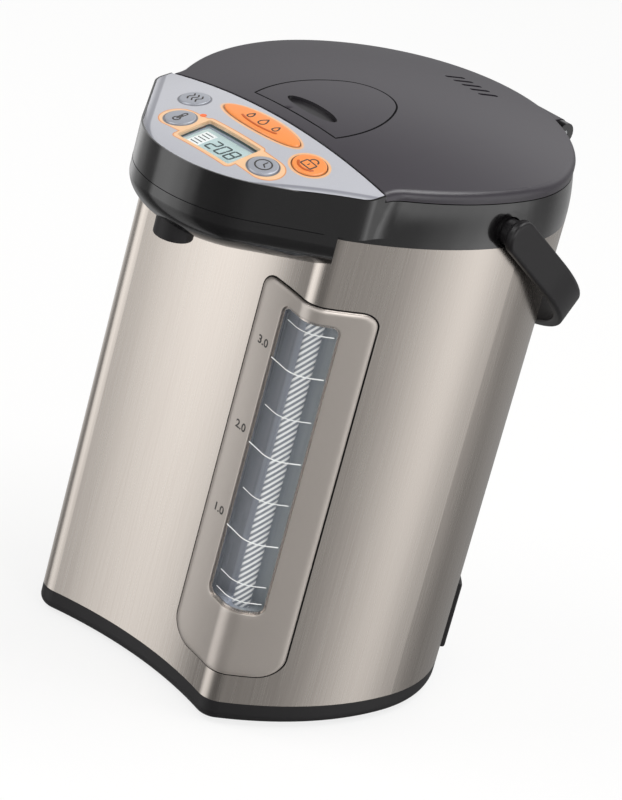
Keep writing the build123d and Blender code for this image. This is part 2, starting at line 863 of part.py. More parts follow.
shaft_bottom = pump_bottom - shaft_length
disc_bottom = pump_bottom + pump_wall + impeller_gap
with BuildPart() as pump_impeller:
    with BuildSketch(Plane.XY.offset(disc_bottom)):
        with Locations((pump_x, pump_y)):
            Circle(impeller_radius)
    extrude(amount=impeller_disc)
    with BuildSketch(Plane.XY.offset(disc_bottom + impeller_disc)):
        with Locations((pump_x, pump_y)):
            with PolarLocations(blade_middle, impeller_blades):
                Rectangle(blade_length, blade_wall)
            Circle(impeller_hub)
    extrude(amount=blade_height)
    with BuildSketch(Plane.XY.offset(shaft_bottom)):
        with Locations((pump_x, pump_y)):
            Circle(shaft_radius)
    extrude(amount=disc_bottom - shaft_bottom)
pump_impeller.part.label = "pump_impeller"
export_step(pump_impeller.part, "parts/pump_impeller.step")

with BuildPart() as pump_motor:
    with BuildSketch(Plane.XY.offset(cover_top)):
        with Locations((pump_x, pump_y)):
            Circle(motor_radius)
    extrude(amount=pump_bottom - cover_top)
    with BuildSketch(Plane.XY.offset(pump_bottom)):
        with Locations((pump_x, pump_y)):
            Circle(shaft_radius + run_gap)
    extrude(amount=-(shaft_length + impeller_gap), mode=Mode.SUBTRACT)
pump_motor.part.label = "pump_motor"
export_step(pump_motor.part, "parts/pump_motor.step")


def pipe_along(points, radius, bore, bend):
    """A pipe of round section along straight runs joined by arcs."""
    with BuildLine() as path:
        FilletPolyline(*points, radius=bend)
    start = path.line.edges().sort_by(lambda edge: (edge.center() - points[0]).length)[0]
    way = (points[1] - points[0]).normalized()
    with BuildPart() as pipe:
        with BuildSketch(Plane(points[0], z_dir=way)):
            Circle(radius)
            Circle(bore, mode=Mode.SUBTRACT)
        sweep(path=path.line)
    return pipe.part


ridge_point = Vector(ridge_centre.X, ridge_centre.Y, 0)
pump_hose = pipe_along(
    [hose_start, ridge_point + Vector(0, 0, hose_z), ridge_point + Vector(0, 0, gauge_bottom)],
    pipe_radius,
    pipe_bore,
    pipe_bend,
)
pump_hose.label = "pump_hose"
export_step(pump_hose, "parts/pump_hose.step")

delivery_pipe = pipe_along(
    [
        ridge_point + Vector(0, 0, gauge_top),
        ridge_point + Vector(0, 0, collar_bottom + delivery_rise),
        Vector(0, spout_y, seam_height + delivery_end_rise),
        Vector(0, spout_y, spout_bottom + delivery_foot_rise),
    ],
    pipe_radius,
    pipe_bore,
    pipe_bend,
)
delivery_pipe.label = "delivery_pipe"
export_step(delivery_pipe, "parts/delivery_pipe.step")

# ------------------------------------------------------------------ power board and inlet
board_bottom = cover_top + post_height
with BuildPart() as power_board:
    with BuildSketch(Plane.XY.offset(board_bottom)):
        with Locations((power_board_x, power_board_y)):
            Rectangle(power_board_length, power_board_width)
    extrude(amount=board_wall)
    with BuildSketch(Plane.XY.offset(board_bottom + board_wall)):
        with Locations((power_board_x + transformer_x, power_board_y + transformer_y)):
            Rectangle(transformer_length, transformer_width)
    extrude(amount=transformer_height)
    with BuildSketch(Plane.XY.offset(board_bottom + board_wall)):
        with Locations((power_board_x + capacitor_x, power_board_y + capacitor_y)):
            Circle(capacitor_radius)
        with Locations((power_board_x + relay_x, power_board_y + relay_y)):
            Rectangle(relay_length, relay_width)
    extrude(amount=component_height)
power_board.part.label = "power_board"
export_step(power_board.part, "parts/power_board.step")

with BuildPart() as board_screws:
    with BuildSketch(Plane.XY.offset(board_bottom + board_wall)):
        with Locations(post_places):
            Circle(screw_head_radius)
    extrude(amount=screw_head_height)
board_screws.part.label = "board_screws"
export_step(board_screws.part, "parts/board_screws.step")

socket_middle = inlet_bottom + socket_rise + socket_height / 2
with BuildPart() as inlet_housing:
    with BuildSketch(inlet_plane.offset(-inlet_depth)):
        with Locations((0, (inlet_bottom + inlet_top) / 2)):
            Rectangle(2 * inlet_half_width, inlet_top - inlet_bottom)
    extrude(amount=2 * inlet_depth)
    add(prism(body_outline(-inlet_proud), inlet_bottom, inlet_top), mode=Mode.INTERSECT)
    inlet_face = inlet_housing.faces().sort_by(Axis(inlet_plane.origin, inlet_plane.z_dir))[-1]
    fillet(inlet_face.edges(), inlet_round)
    with BuildSketch(inlet_plane.offset(2 * inlet_depth)):
        with Locations((0, socket_middle)):
            RectangleRounded(2 * socket_half_width, socket_height, socket_corner)
    extrude(amount=-2 * inlet_depth - socket_depth, mode=Mode.SUBTRACT)
inlet_housing.part.label = "inlet_housing"
export_step(inlet_housing.part, "parts/inlet_housing.step")

with BuildPart() as inlet_contacts:
    with BuildSketch(inlet_plane.offset(-socket_depth)):
        with Locations((-contact_offset, socket_middle), (contact_offset, socket_middle)):
            Circle(contact_radius)
    extrude(amount=contact_length)
inlet_contacts.part.label = "inlet_contacts"
export_step(inlet_contacts.part, "parts/inlet_contacts.step")

# ------------------------------------------------------------------ collar


def half_space(y, front):
    """Everything in front of a place on the Y axis, or everything behind it."""
    span = 4 * half_width
    middle = y - span / 2 if front else y + span / 2
    return Location((0, middle, crown / 2)) * Box(span, span, 2 * crown, mode=Mode.PRIVATE)


def collar_tower(inset, bottom):
    """Collar and beak from a height to the collar's top, drawn in by inset."""
    heights = (bottom, (bottom + collar_top) / 2, collar_top)
    faces = []
    for height in heights:
        with BuildSketch(Plane.XY.offset(height)) as level:
            make_face(collar_outline(barrel_inset(height), inset).edges())
        faces.append(level.sketch)
    with BuildPart() as solid:
        loft(faces)
    return solid.part


def side_rod(radius, start, end, y, z):
    """A rod along X from start to end."""
    with BuildPart() as rod:
        with BuildSketch(Plane((start, y, z), x_dir=(0, 1, 0), z_dir=(1, 0, 0))):
            Circle(radius)
        extrude(amount=end - start)
    return rod.part


spigot_bottom = collar_bottom - spigot_height
spigot_inside = prism(
    body_outline(shell_wall + fit_gap + spigot_wall), spigot_bottom, collar_bottom + merge
)
low_heights = (collar_bottom, (collar_bottom + seam_height) / 2, seam_height)
collar_low = tower(body_outline, [(z, barrel_inset(z)) for z in low_heights])
collar_low_inside = tower(
    body_outline,
    [(z, barrel_inset(z) + collar_wall) for z in low_heights],
)
beak_top = prism(beak_outline(0), collar_top - 2 * merge, tall)
beak_top = beak_top & dome(0) & half_space(beak_rear_y, True)
beak_hollow = prism(beak_outline(collar_wall), collar_top - 3 * merge, tall)
beak_hollow = beak_hollow & half_space(beak_front_y, True)
panel_rabbet = prism(beak_outline(panel_inset - fit_gap), collar_top - rabbet_depth, tall)
panel_rabbet = (panel_rabbet - dome(panel_wall)) & half_space(beak_rear_y + merge, True)
collar_block = collar_tower(0, seam_height)
deck_outline = collar_outline(barrel_inset(deck_bottom), collar_wall / 2)
deck = prism(deck_outline, deck_bottom, deck_bottom + deck_wall) - half_space(beak_front_y, True)
bulkhead = prism(beak_outline(collar_wall / 2), deck_bottom, tall) & dome(panel_wall)
bulkhead = (bulkhead - half_space(beak_front_y, True)) & half_space(beak_rear_y, True)
recess_floor = barrel_inset(handle_z)
recess_floor = flank_centre.X + sqrt(flank_radius**2 - handle_y**2) - recess_floor - hub_recess_depth
pin_start = recess_floor - hub_boss_length
end_point = ridge_centre + along(cover_end_turn) * ridge_radius
end_way = along(cover_end_look)


def past_cover_end(gap):
    """Everything beyond the ends of the beak's cover, both sides, from gap past them."""
    size = 2 * half_width
    with BuildPart() as beyond:
        middle = end_point + end_way * (gap + size / 2)
        with Locations(Location((middle.X, middle.Y, crown / 2), (0, 0, cover_end_look))):
            Box(size, size, 2 * crown)
        mirror(about=Plane.YZ)
    return beyond.part


with BuildPart() as hinge_ear:
    with BuildSketch(Plane.YZ.offset(hinge_half_width + free_gap)):
        Polygon(
            (hinge_y - ear_length, collar_top - ear_height),
            (hinge_y - ear_length, collar_top),
            (hinge_y - ear_crest, collar_top),
            (hinge_y, hinge_z + ear_radius),
            (hinge_y + ear_radius, hinge_z),
            (half_width - merge, collar_top - ear_height),
            align=None,
        )
        with Locations((hinge_y, hinge_z)):
            Circle(ear_radius)
    extrude(amount=ear_width)
ear = hinge_ear.part

with BuildPart() as collar:
    add(collar_block)
    add(beak_top)
    add(collar_tower(collar_wall, seam_height), mode=Mode.SUBTRACT)
    add(beak_hollow, mode=Mode.SUBTRACT)
    add(collar_low - collar_low_inside)
    add(prism(body_outline(shell_wall + fit_gap), spigot_bottom, collar_bottom + merge))
    add(spigot_inside, mode=Mode.SUBTRACT)
    add(deck)
    add(bulkhead)
    add(
        prism(beak_outline(merge), seam_height, seam_height + beak_floor)
        - prism(body_outline(2 * merge), seam_height, seam_height + beak_floor)
        - (prism(beak_outline(0), seam_height, seam_height + beak_floor) - past_cover_end(0))
    )
    add(panel_rabbet, mode=Mode.SUBTRACT)
    for side in (-1, 1):
        boss_end = side * (recess_floor + hub_recess_depth)
        add(side_rod(hub_boss_radius, side * pin_start, boss_end, handle_y, handle_z) & collar_block)
        add(
            side_rod(hub_recess_radius, side * recess_floor, side * 2 * half_width, handle_y, handle_z),
            mode=Mode.SUBTRACT,
        )
        add(
            side_rod(hub_pin_radius + run_gap, side * pin_start, side * half_width, handle_y, handle_z),
            mode=Mode.SUBTRACT,
        )
    with BuildSketch(Plane.XY.offset(deck_bottom)):
        Circle(deck_hole)
    extrude(amount=deck_wall, mode=Mode.SUBTRACT)
    with Locations((0, hinge_y - tongue_step - 5 * free_gap, hinge_z - hinge_barrel - free_gap)):
        Box(
            2 * (hinge_half_width + free_gap),
            2 * hinge_barrel,
            2 * hinge_barrel,
            align=(Align.CENTER, Align.MIN, Align.MIN),
            mode=Mode.SUBTRACT,
        )
    add(ear)
    add(mirror(ear, about=Plane.YZ, mode=Mode.PRIVATE))
    add(
        side_rod(hinge_pin_radius + run_gap, -half_width, half_width, hinge_y, hinge_z),
        mode=Mode.SUBTRACT,
    )
    with Locations((0, beak_rear_y, latch_bottom - free_gap)):
        Box(
            2 * (latch_half_width + 2 * free_gap),
            2 * (latch_reach + free_gap),
            latch_height * 4,
            align=(Align.CENTER, Align.CENTER, Align.MIN),
            mode=Mode.SUBTRACT,
        )
collar.part.label = "collar"
export_step(collar.part, "parts/collar.step")

hinge_reach = hinge_half_width + ear_width
hinge_pin = side_rod(hinge_pin_radius, -hinge_reach, hinge_reach, hinge_y, hinge_z)
hinge_pin.label = "hinge_pin"
export_step(hinge_pin, "parts/hinge_pin.step")

# ------------------------------------------------------------------ beak's cover and spout
chin_turns = (0, 18, 36, 54, 70, 82, 90)


def chin(wall):
    """The rounded underside of the beak as a solid, drawn in by the wall."""
    width = chin_reach - wall
    depth = chin_depth - wall
    levels = [
        (chin_top - depth * sin(radians(turn)), chin_reach - width * cos(radians(turn)))
        for turn in chin_turns
    ]
    straight = prism(beak_outline(wall), chin_top, seam_height)
    return tower(beak_outline, levels) + straight


chin_block = chin(0)
with BuildPart() as beak_cover:
    add(chin_block)
    add(chin(chin_wall) - past_cover_end(-chin_wall), mode=Mode.SUBTRACT)
    with BuildSketch(Plane.XY.offset(chin_top - chin_depth)):
        with Locations((0, spout_y)):
            Circle(spout_socket)
    extrude(amount=chin_depth)
    add(chin_block, mode=Mode.INTERSECT)
    with BuildSketch(Plane.XY.offset(spout_bottom)):
        with Locations((0, spout_y)):
            Circle(spout_radius + fit_gap)
    extrude(amount=seam_height - spout_bottom, mode=Mode.SUBTRACT)
    add(prism(body_outline(-free_gap), spout_bottom, seam_height), mode=Mode.SUBTRACT)
    add(past_cover_end(0), mode=Mode.SUBTRACT)
beak_cover.part.label = "beak_cover"
export_step(beak_cover.part, "parts/beak_cover.step")

with BuildPart() as spout_nozzle:
    with BuildSketch(Plane.XY.offset(spout_bottom)):
        with Locations((0, spout_y)):
            Circle(spout_radius)
    extrude(amount=spout_drop + spout_flange_wall)
    fillet(spout_nozzle.edges().group_by(Axis.Z)[0], spout_round)
    with BuildSketch(Plane.XY.offset(chin_top)):
        with Locations((0, spout_y)):
            Circle(spout_flange)
    extrude(amount=spout_flange_wall)
    with BuildSketch(Plane.XY.offset(spout_bottom)):
        with Locations((0, spout_y)):
            Circle(pipe_radius + fit_gap)
    extrude(amount=spout_drop + spout_flange_wall, mode=Mode.SUBTRACT)
    with BuildSketch(Plane.XY.offset(chin_top - spout_cup_depth)):
        with Locations((0, spout_y)):
            Circle(spout_cup)
    extrude(amount=spout_cup_depth + spout_flange_wall, mode=Mode.SUBTRACT)
spout_nozzle.part.label = "spout_nozzle"
export_step(spout_nozzle.part, "parts/spout_nozzle.step")

# ------------------------------------------------------------------ control panel
board_plane = touching_plane(0, board_y)


def on_board(x, y):
    """Where a place on the crowned top lies in the board's own plane."""
    local = board_plane.to_local_coords(Vector(x, y, dome_height(x, y)))
    return (local.X, local.Y)


rear_key_y = panel_rear_y - rear_key_set
front_key_y = nose_y - front_key_set
buttons = {
    "dispense": (0, panel_rear_y - dispense_set, dispense_half_length, dispense_half_depth),
    "unlock": (rear_key_x, rear_key_y, unlock_radius, unlock_radius),
    "reheat": (-rear_key_x, rear_key_y, key_radius, key_radius),
    "timer": (front_key_x, front_key_y, key_radius, key_radius),
    "temperature": (-front_key_x, front_key_y, key_radius, key_radius),
}


def button_column(name, grow):
    """An endless column along the board's normal with one button's outline, grown outwards."""
    x, y, half_length, half_depth = buttons[name]
    with BuildPart() as column:
        with BuildSketch(board_plane):
            with Locations(on_board(x, y)):
                Ellipse(half_length + grow, half_depth + grow)
        extrude(amount=2 * board_drop, both=True)
    return column.part


screen_place = on_board(0, screen_y)
lamp_place = on_board(lamp_x, nose_y - lamp_set)
with BuildPart() as panel_holes:
    with BuildSketch(board_plane):
        with Locations(screen_place):
            RectangleRounded(screen_width, screen_depth, screen_corner)
        with Locations(lamp_place):
            Circle(lamp_radius)
        for x, y, half_length, half_depth in buttons.values():
            with Locations(on_board(x, y)):
                Ellipse(half_length + cap_gap, half_depth + cap_gap)
    extrude(amount=2 * board_drop, both=True)

board_posts = [
    on_board(side * x, y)
    for side in (-1, 1)
    for x, y in ((rear_post_x, panel_rear_y - rear_post_set), (front_post_x, nose_y - front_post_set))
]
with BuildPart() as panel_posts:
    with BuildSketch(board_plane.offset(-board_drop)):
        with Locations(board_posts):
            Circle(board_post_radius)
    extrude(amount=board_drop)
    add(dome(panel_wall / 2), mode=Mode.INTERSECT)
with BuildPart() as control_panel:
    add(prism(beak_outline(panel_inset), seam_height, tall))
    add(dome(0), mode=Mode.INTERSECT)
    add(half_space(panel_rear_y, True), mode=Mode.INTERSECT)
    add(dome(panel_wall), mode=Mode.SUBTRACT)
    add(panel_posts.part)
    add(panel_holes.part, mode=Mode.SUBTRACT)
control_panel.part.label = "control_panel"
export_step(control_panel.part, "parts/control_panel.step")

with BuildPart() as screen_column:
    with BuildSketch(board_plane):
        with Locations(screen_place):
            RectangleRounded(
                screen_width - 2 * fit_gap, screen_depth - 2 * fit_gap, screen_corner - fit_gap
            )
    extrude(amount=2 * board_drop, both=True)
with BuildPart() as screen_edge:
    with BuildSketch(board_plane):
        with Locations(screen_place):
            Rectangle(screen_width + 2 * screen_lap, screen_depth + 2 * screen_lap)
    extrude(amount=2 * board_drop, both=True)
pane = screen_column.part & dome(screen_sink) - dome(panel_wall + screen_wall)
pane_rim = screen_edge.part & dome(panel_wall) - dome(panel_wall + screen_wall)
display_window = pane + pane_rim
display_window.label = "display_window"
export_step(display_window, "parts/display_window.step")

with BuildPart() as control_board:
    with BuildSketch(board_plane.offset(-board_drop)):
        Polygon(
            on_board(-board_rear_half, panel_rear_y - board_rear_set),
            on_board(board_rear_half, panel_rear_y - board_rear_set),
            on_board(board_front_half, nose_y - board_front_set),
            on_board(-board_front_half, nose_y - board_front_set),
            align=None,
        )
    extrude(amount=-board_wall)
control_board.part.label = "control_board"
export_step(control_board.part, "parts/control_board.step")

with BuildPart() as control_screws:
    with BuildSketch(board_plane.offset(-board_drop - board_wall)):
        with Locations(board_posts):
            Circle(board_post_radius)
    extrude(amount=-flat_head_height)
control_screws.part.label = "control_screws"
export_step(control_screws.part, "parts/control_screws.step")

with BuildPart() as display_module:
    with BuildSketch(board_plane.offset(-board_drop)):
        with Locations(screen_place):
            Rectangle(screen_width + 2 * module_margin, screen_depth + 2 * module_margin)
    extrude(amount=board_drop - panel_wall - screen_wall - module_gap)
display_module.part.label = "display_module"
export_step(display_module.part, "parts/display_module.step")

with BuildPart() as tact_switches:
    for x, y, half_length, half_depth in buttons.values():
        with BuildSketch(board_plane.offset(-board_drop)):
            with Locations(on_board(x, y)):
                Rectangle(switch_side, switch_side)
        extrude(amount=switch_height)
tact_switches.part.label = "tact_switches"
export_step(tact_switches.part, "parts/tact_switches.step")

with BuildPart() as lamp_column:
    with BuildSketch(board_plane.offset(-board_drop)):
        with Locations(lamp_place):
            Circle(lamp_radius - fit_gap)
    extrude(amount=2 * board_drop)
lamp_lens = lamp_column.part & dome(-fit_gap)
lamp_lens.label = "lamp_lens"
export_step(lamp_lens, "parts/lamp_lens.step")


def button(name):
    """A cap in its hole, a flange under the panel and a stem down to its switch."""
    x, y, half_length, half_depth = buttons[name]
    flange_top = panel_wall + free_gap
    cap = button_column(name, 0) & dome(-cap_proud) - dome(flange_top + flange_wall)
    flange = button_column(name, flange_reach) & dome(flange_top) - dome(flange_top + flange_wall)
    with BuildPart() as stem:
        with BuildSketch(board_plane.offset(switch_height + cap_travel + free_gap - board_drop)):
            with Locations(on_board(x, y)):
                Circle(stem_radius)
        extrude(amount=board_drop - switch_height - cap_travel - free_gap - panel_wall)
    return cap + flange + (stem.part & dome(panel_wall))


button_dispense = button("dispense")
button_dispense.label = "button_dispense"
export_step(button_dispense, "parts/button_dispense.step")
button_unlock = button("unlock")
button_unlock.label = "button_unlock"
export_step(button_unlock, "parts/button_unlock.step")
button_reheat = button("reheat")
button_reheat.label = "button_reheat"
export_step(button_reheat, "parts/button_reheat.step")
button_timer = button("timer")
button_timer.label = "button_timer"
export_step(button_timer, "parts/button_timer.step")
button_temperature = button("temperature")
button_temperature.label = "button_temperature"
export_step(button_temperature, "parts/button_temperature.step")

# ------------------------------------------------------------------ carrying handle
strip_inner = handle_half_width - handle_wall / 2
strip_outer = handle_half_width + handle_wall / 2
handle_plane = Plane(
    (0, handle_y, handle_z),
    x_dir=(1, 0, 0),
    z_dir=(0, sin(radians(handle_slope)), cos(radians(handle_slope))),
)


def bail_outline(inset):
    """One edge of the bail in its own plane: two straight arms and half an ellipse."""
    half = handle_half_width - inset
    with BuildLine() as outline:
        Line((half, 0), (half, handle_straight))
        EllipticalCenterArc((0, handle_straight), half, handle_arch - inset, 0, arc_size=90)
        Line((half, 0), (0, 0))
        mirror(about=Plane.YZ)
    return outline.line


with BuildPart() as handle:
    with BuildSketch(handle_plane.offset(-handle_width / 2)):
        make_face(bail_outline(-handle_wall / 2).edges())
    extrude(amount=handle_width)
    with BuildSketch(handle_plane.offset(-handle_width / 2)):
        make_face(bail_outline(handle_wall / 2).edges())
    extrude(amount=handle_width, mode=Mode.SUBTRACT)
    for side in (-1, 1):
        add(side_rod(handle_width / 2, side * strip_inner, side * strip_outer, handle_y, handle_z))
    fillet(handle.edges().filter_by(lambda edge: edge.length > 2 * handle_wall), handle_round)
    for side in (-1, 1):
        hub_end = side * (recess_floor + free_gap)
        add(side_rod(hub_radius, hub_end, side * (strip_inner + merge), handle_y, handle_z))
        add(
            side_rod(
                hub_pin_radius + run_gap, hub_end, side * (strip_outer - hub_cover), handle_y, handle_z
            ),
            mode=Mode.SUBTRACT,
        )
handle.part.label = "handle"
export_step(handle.part, "parts/handle.step")

with BuildPart() as handle_pins:
    for side in (-1, 1):
        pin_end = side * (strip_outer - hub_cover - free_gap)
        add(side_rod(hub_pin_radius, side * pin_start, pin_end, handle_y, handle_z))
handle_pins.part.label = "handle_pins"
export_step(handle_pins.part, "parts/handle_pins.step")

# ------------------------------------------------------------------ lid
lid_bottom = collar_top + lid_gap
lid_lean = barrel_inset(lid_bottom)
tip_centre = Vector(0, lever_tip_y - lever_tip_radius)
side_drop = sqrt((lever_side_radius - lever_tip_radius) ** 2 - lever_side_offset**2)
side_centre = tip_centre - Vector(lever_side_offset, side_drop)


def lever_outline(inset):
    """The lever from above, drawn in by inset: straight front, two bowed sides, round tip."""
    side = lever_side_radius - inset
    start = degrees(asin((lever_front_y + inset - side_centre.Y) / side))
    end = degrees(atan2(side_drop, lever_side_offset))
    with BuildLine() as outline:
        Line((0, lever_front_y + inset), side_centre + along(start) * side)
        CenterArc(side_centre, side, start, end - start)
        CenterArc(tip_centre, lever_tip_radius - inset, end, 90 - end)
        mirror(about=Plane.YZ)
    return outline.line


with BuildPart() as vent_holes:
    with BuildSketch(Plane.XY.offset(tray_top)):
        with Locations((vent_x, vent_y)):
            with GridLocations(vent_pitch, vent_pitch, vent_slots, 1):
                SlotOverall(vent_slot_length, vent_slot_width, rotation=90 + vent_turn)
    extrude(amount=tall - tray_top)

lever_pivot_z = dome_height(0, lever_pivot_y) - lever_pivot_drop
lid_interior = prism(collar_outline(lid_lean, lid_wall), lid_bottom, tall)
lid_interior = (lid_interior & dome(lid_wall)) - half_space(lid_front_y + lid_wall, True)
lid_post_places = [(side * x, y) for side in (-1, 1) for x, y in lid_posts]
with BuildPart() as posts_block:
    with BuildSketch(Plane.XY.offset(tray_top)):
        with Locations(lid_post_places):
            Circle(screw_radius + lid_post_wall)
    extrude(amount=tall - tray_top)
    add(dome(lid_wall / 2), mode=Mode.INTERSECT)
lever_pin = side_rod(
    lever_pin_radius, -lever_pin_half, lever_pin_half, lever_pivot_y, lever_pivot_z
)
with BuildPart() as lid_shell:
    add(prism(collar_outline(lid_lean, 0), lid_bottom, tall))
    add(half_space(lid_front_y, False), mode=Mode.INTERSECT)
    add(dome(0), mode=Mode.INTERSECT)
    crown_face = lid_shell.faces().filter_by(GeomType.PLANE, reverse=True).sort_by(SortBy.AREA)[-1]
    fillet(crown_face.edges().sort_by(Axis.Y)[1:], lid_round)
    front_face = lid_shell.faces().filter_by(GeomType.PLANE).sort_by(Axis.Y)[0]
    fillet(front_face.edges().sort_by(Axis.Z)[-1], lid_front_round)
    add(lid_interior, mode=Mode.SUBTRACT)
    add(posts_block.part)
    for side in (-1, 1):
        start = side * lid_boss_start
        end = side * lever_pin_half
        add(side_rod(lever_boss_radius, start, end, lever_pivot_y, lever_pivot_z))
    with BuildSketch(Plane.YZ):
        Polygon(
            (hinge_y - tongue_length, lid_bottom),
            (hinge_y - tongue_length, hinge_z + hinge_barrel),
            (hinge_y, hinge_z + hinge_barrel),
            (hinge_y, hinge_z - hinge_barrel),
            (hinge_y - tongue_step, hinge_z - hinge_barrel / 2),
            (hinge_y - tongue_step, lid_bottom),
            align=None,
        )
        with Locations((hinge_y, hinge_z)):
            Circle(hinge_barrel)
    extrude(amount=hinge_half_width, both=True)
    add(prism(lever_outline(0), tray_top, tall), mode=Mode.SUBTRACT)
    add(vent_holes.part, mode=Mode.SUBTRACT)
    add(lever_pin, mode=Mode.SUBTRACT)
    add(
        side_rod(hinge_pin_radius + run_gap, -half_width, half_width, hinge_y, hinge_z),
        mode=Mode.SUBTRACT,
    )
    with BuildSketch(Plane.XY.offset(tray_top)):
        with Locations(lid_post_places):
            Circle(screw_radius)
    extrude(amount=screw_length, mode=Mode.SUBTRACT)
    with Locations((0, lid_front_y, latch_bottom - free_gap)):
        Box(
            2 * (latch_half_width + free_gap),
            4 * lid_wall,
            latch_height + 2 * free_gap,
            align=(Align.CENTER, Align.CENTER, Align.MIN),
            mode=Mode.SUBTRACT,
        )
lid_shell.part.label = "lid_shell"
export_step(lid_shell.part, "parts/lid_shell.step")

tray_edge = collar_outline(lid_lean, tray_inset - lid_lean)
tray_bottom = tray_top - tray_wall
tray_front_y = lid_front_y + tray_inset - lid_lean
with BuildPart() as lid_tray:
    add(prism(tray_edge, tray_bottom, tray_top))
    add(half_space(tray_front_y, True), mode=Mode.SUBTRACT)
    with BuildSketch(Plane.XY.offset(plug_bottom)):
        Circle(plug_radius)
        Circle(plug_radius - tray_wall, mode=Mode.SUBTRACT)
    extrude(amount=tray_top - plug_bottom)
    with Locations((0, tray_front_y, tray_top)):
        Box(
            2 * latch_pad,
            latch_length,
            latch_bottom - free_gap - tray_top,
            align=(Align.CENTER, Align.MIN, Align.MIN),
        )
    with BuildSketch(Plane.XY.offset(tray_bottom)):
        with Locations((0, steam_y)):
            Circle(steam_radius)
        with Locations(lid_post_places):
            Circle(screw_radius)
    extrude(amount=tray_wall, mode=Mode.SUBTRACT)
    with BuildSketch(Plane.XY.offset(tray_bottom)):
        with Locations(lid_post_places):
            Circle(screw_head_radius + fit_gap)
    extrude(amount=tray_wall / 2, mode=Mode.SUBTRACT)
lid_tray.part.label = "lid_tray"
export_step(lid_tray.part, "parts/lid_tray.step")

with BuildPart() as lid_screws:
    with BuildSketch(Plane.XY.offset(tray_bottom + tray_wall / 2)):
        with Locations(lid_post_places):
            Circle(screw_head_radius)
    extrude(amount=-tray_wall / 2)
    with BuildSketch(Plane.XY.offset(tray_bottom + tray_wall / 2)):
        with Locations(lid_post_places):
            Circle(screw_radius)
    extrude(amount=tray_wall / 2 + screw_length)
lid_screws.part.label = "lid_screws"
export_step(lid_screws.part, "parts/lid_screws.step")

with BuildPart() as inner_lid:
    with BuildSketch(Plane.XY.offset(plug_bottom)):
        Circle(inner_lid_radius)
        with PolarLocations(steam_y, steam_holes, start_angle=90):
            Circle(steam_radius / 2, mode=Mode.SUBTRACT)
    extrude(amount=-inner_lid_wall)
inner_lid.part.label = "inner_lid"
export_step(inner_lid.part, "parts/inner_lid.step")

with BuildPart() as lid_gasket:
    with BuildSketch(Plane.XY.offset(plug_bottom)):
        Circle(gasket_radius)
        Circle(plug_radius, mode=Mode.SUBTRACT)
    extrude(amount=gasket_height)
    fillet(lid_gasket.edges().filter_by(GeomType.CIRCLE).sort_by(SortBy.LENGTH)[-2:], gasket_round)
lid_gasket.part.label = "lid_gasket"
export_step(lid_gasket.part, "parts/lid_gasket.step")

with BuildPart() as vent_plate:
    with BuildSketch(Plane.XY.offset(tray_top)):
        with Locations((vent_x, vent_y)):
            Rectangle(vent_pitch * vent_slots + 2 * vent_margin, vent_slot_length + 2 * vent_margin)
            with GridLocations(vent_pitch, vent_pitch, vent_slots - 1, 1):
                Rectangle(vent_slot_width, vent_slot_length - vent_bar_short, mode=Mode.SUBTRACT)
    extrude(amount=tall - tray_top)
    add(dome(lid_wall), mode=Mode.INTERSECT)
    add(dome(lid_wall + vent_wall), mode=Mode.SUBTRACT)
vent_plate.part.label = "vent_plate"
export_step(vent_plate.part, "parts/vent_plate.step")

# ------------------------------------------------------------------ lever and latch in the lid
lever_pin.label = "lever_pin"
export_step(lever_pin, "parts/lever_pin.step")

with BuildPart() as lid_lever:
    add(prism(lever_outline(lever_gap), tray_top, tall))
    add(dome(0), mode=Mode.INTERSECT)
    add(dome(lever_wall), mode=Mode.SUBTRACT)
    with BuildSketch(Plane.XY.offset(tray_top)):
        with Locations((0, lever_front_y + recess_set)):
            Ellipse(recess_half_length, recess_half_width)
    dish = extrude(amount=tall - tray_top, mode=Mode.PRIVATE)
    add(dish - dome(recess_depth), mode=Mode.SUBTRACT)
    for side in (-1, 1):
        start = side * lever_boss_start
        end = side * lever_boss_end
        add(side_rod(lever_boss_radius, start, end, lever_pivot_y, lever_pivot_z))
    add(
        side_rod(lever_pin_radius + run_gap, -half_width, half_width, lever_pivot_y, lever_pivot_z),
        mode=Mode.SUBTRACT,
    )
lid_lever.part.label = "lid_lever"
export_step(lid_lever.part, "parts/lid_lever.step")

with BuildPart() as lid_latch:
    with Locations((0, lid_front_y - latch_reach, latch_bottom)):
        Box(
            2 * latch_half_width,
            latch_length,
            latch_height,
            align=(Align.CENTER, Align.MIN, Align.MIN),
        )
lid_latch.part.label = "lid_latch"
export_step(lid_latch.part, "parts/lid_latch.step")
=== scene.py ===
from math import radians

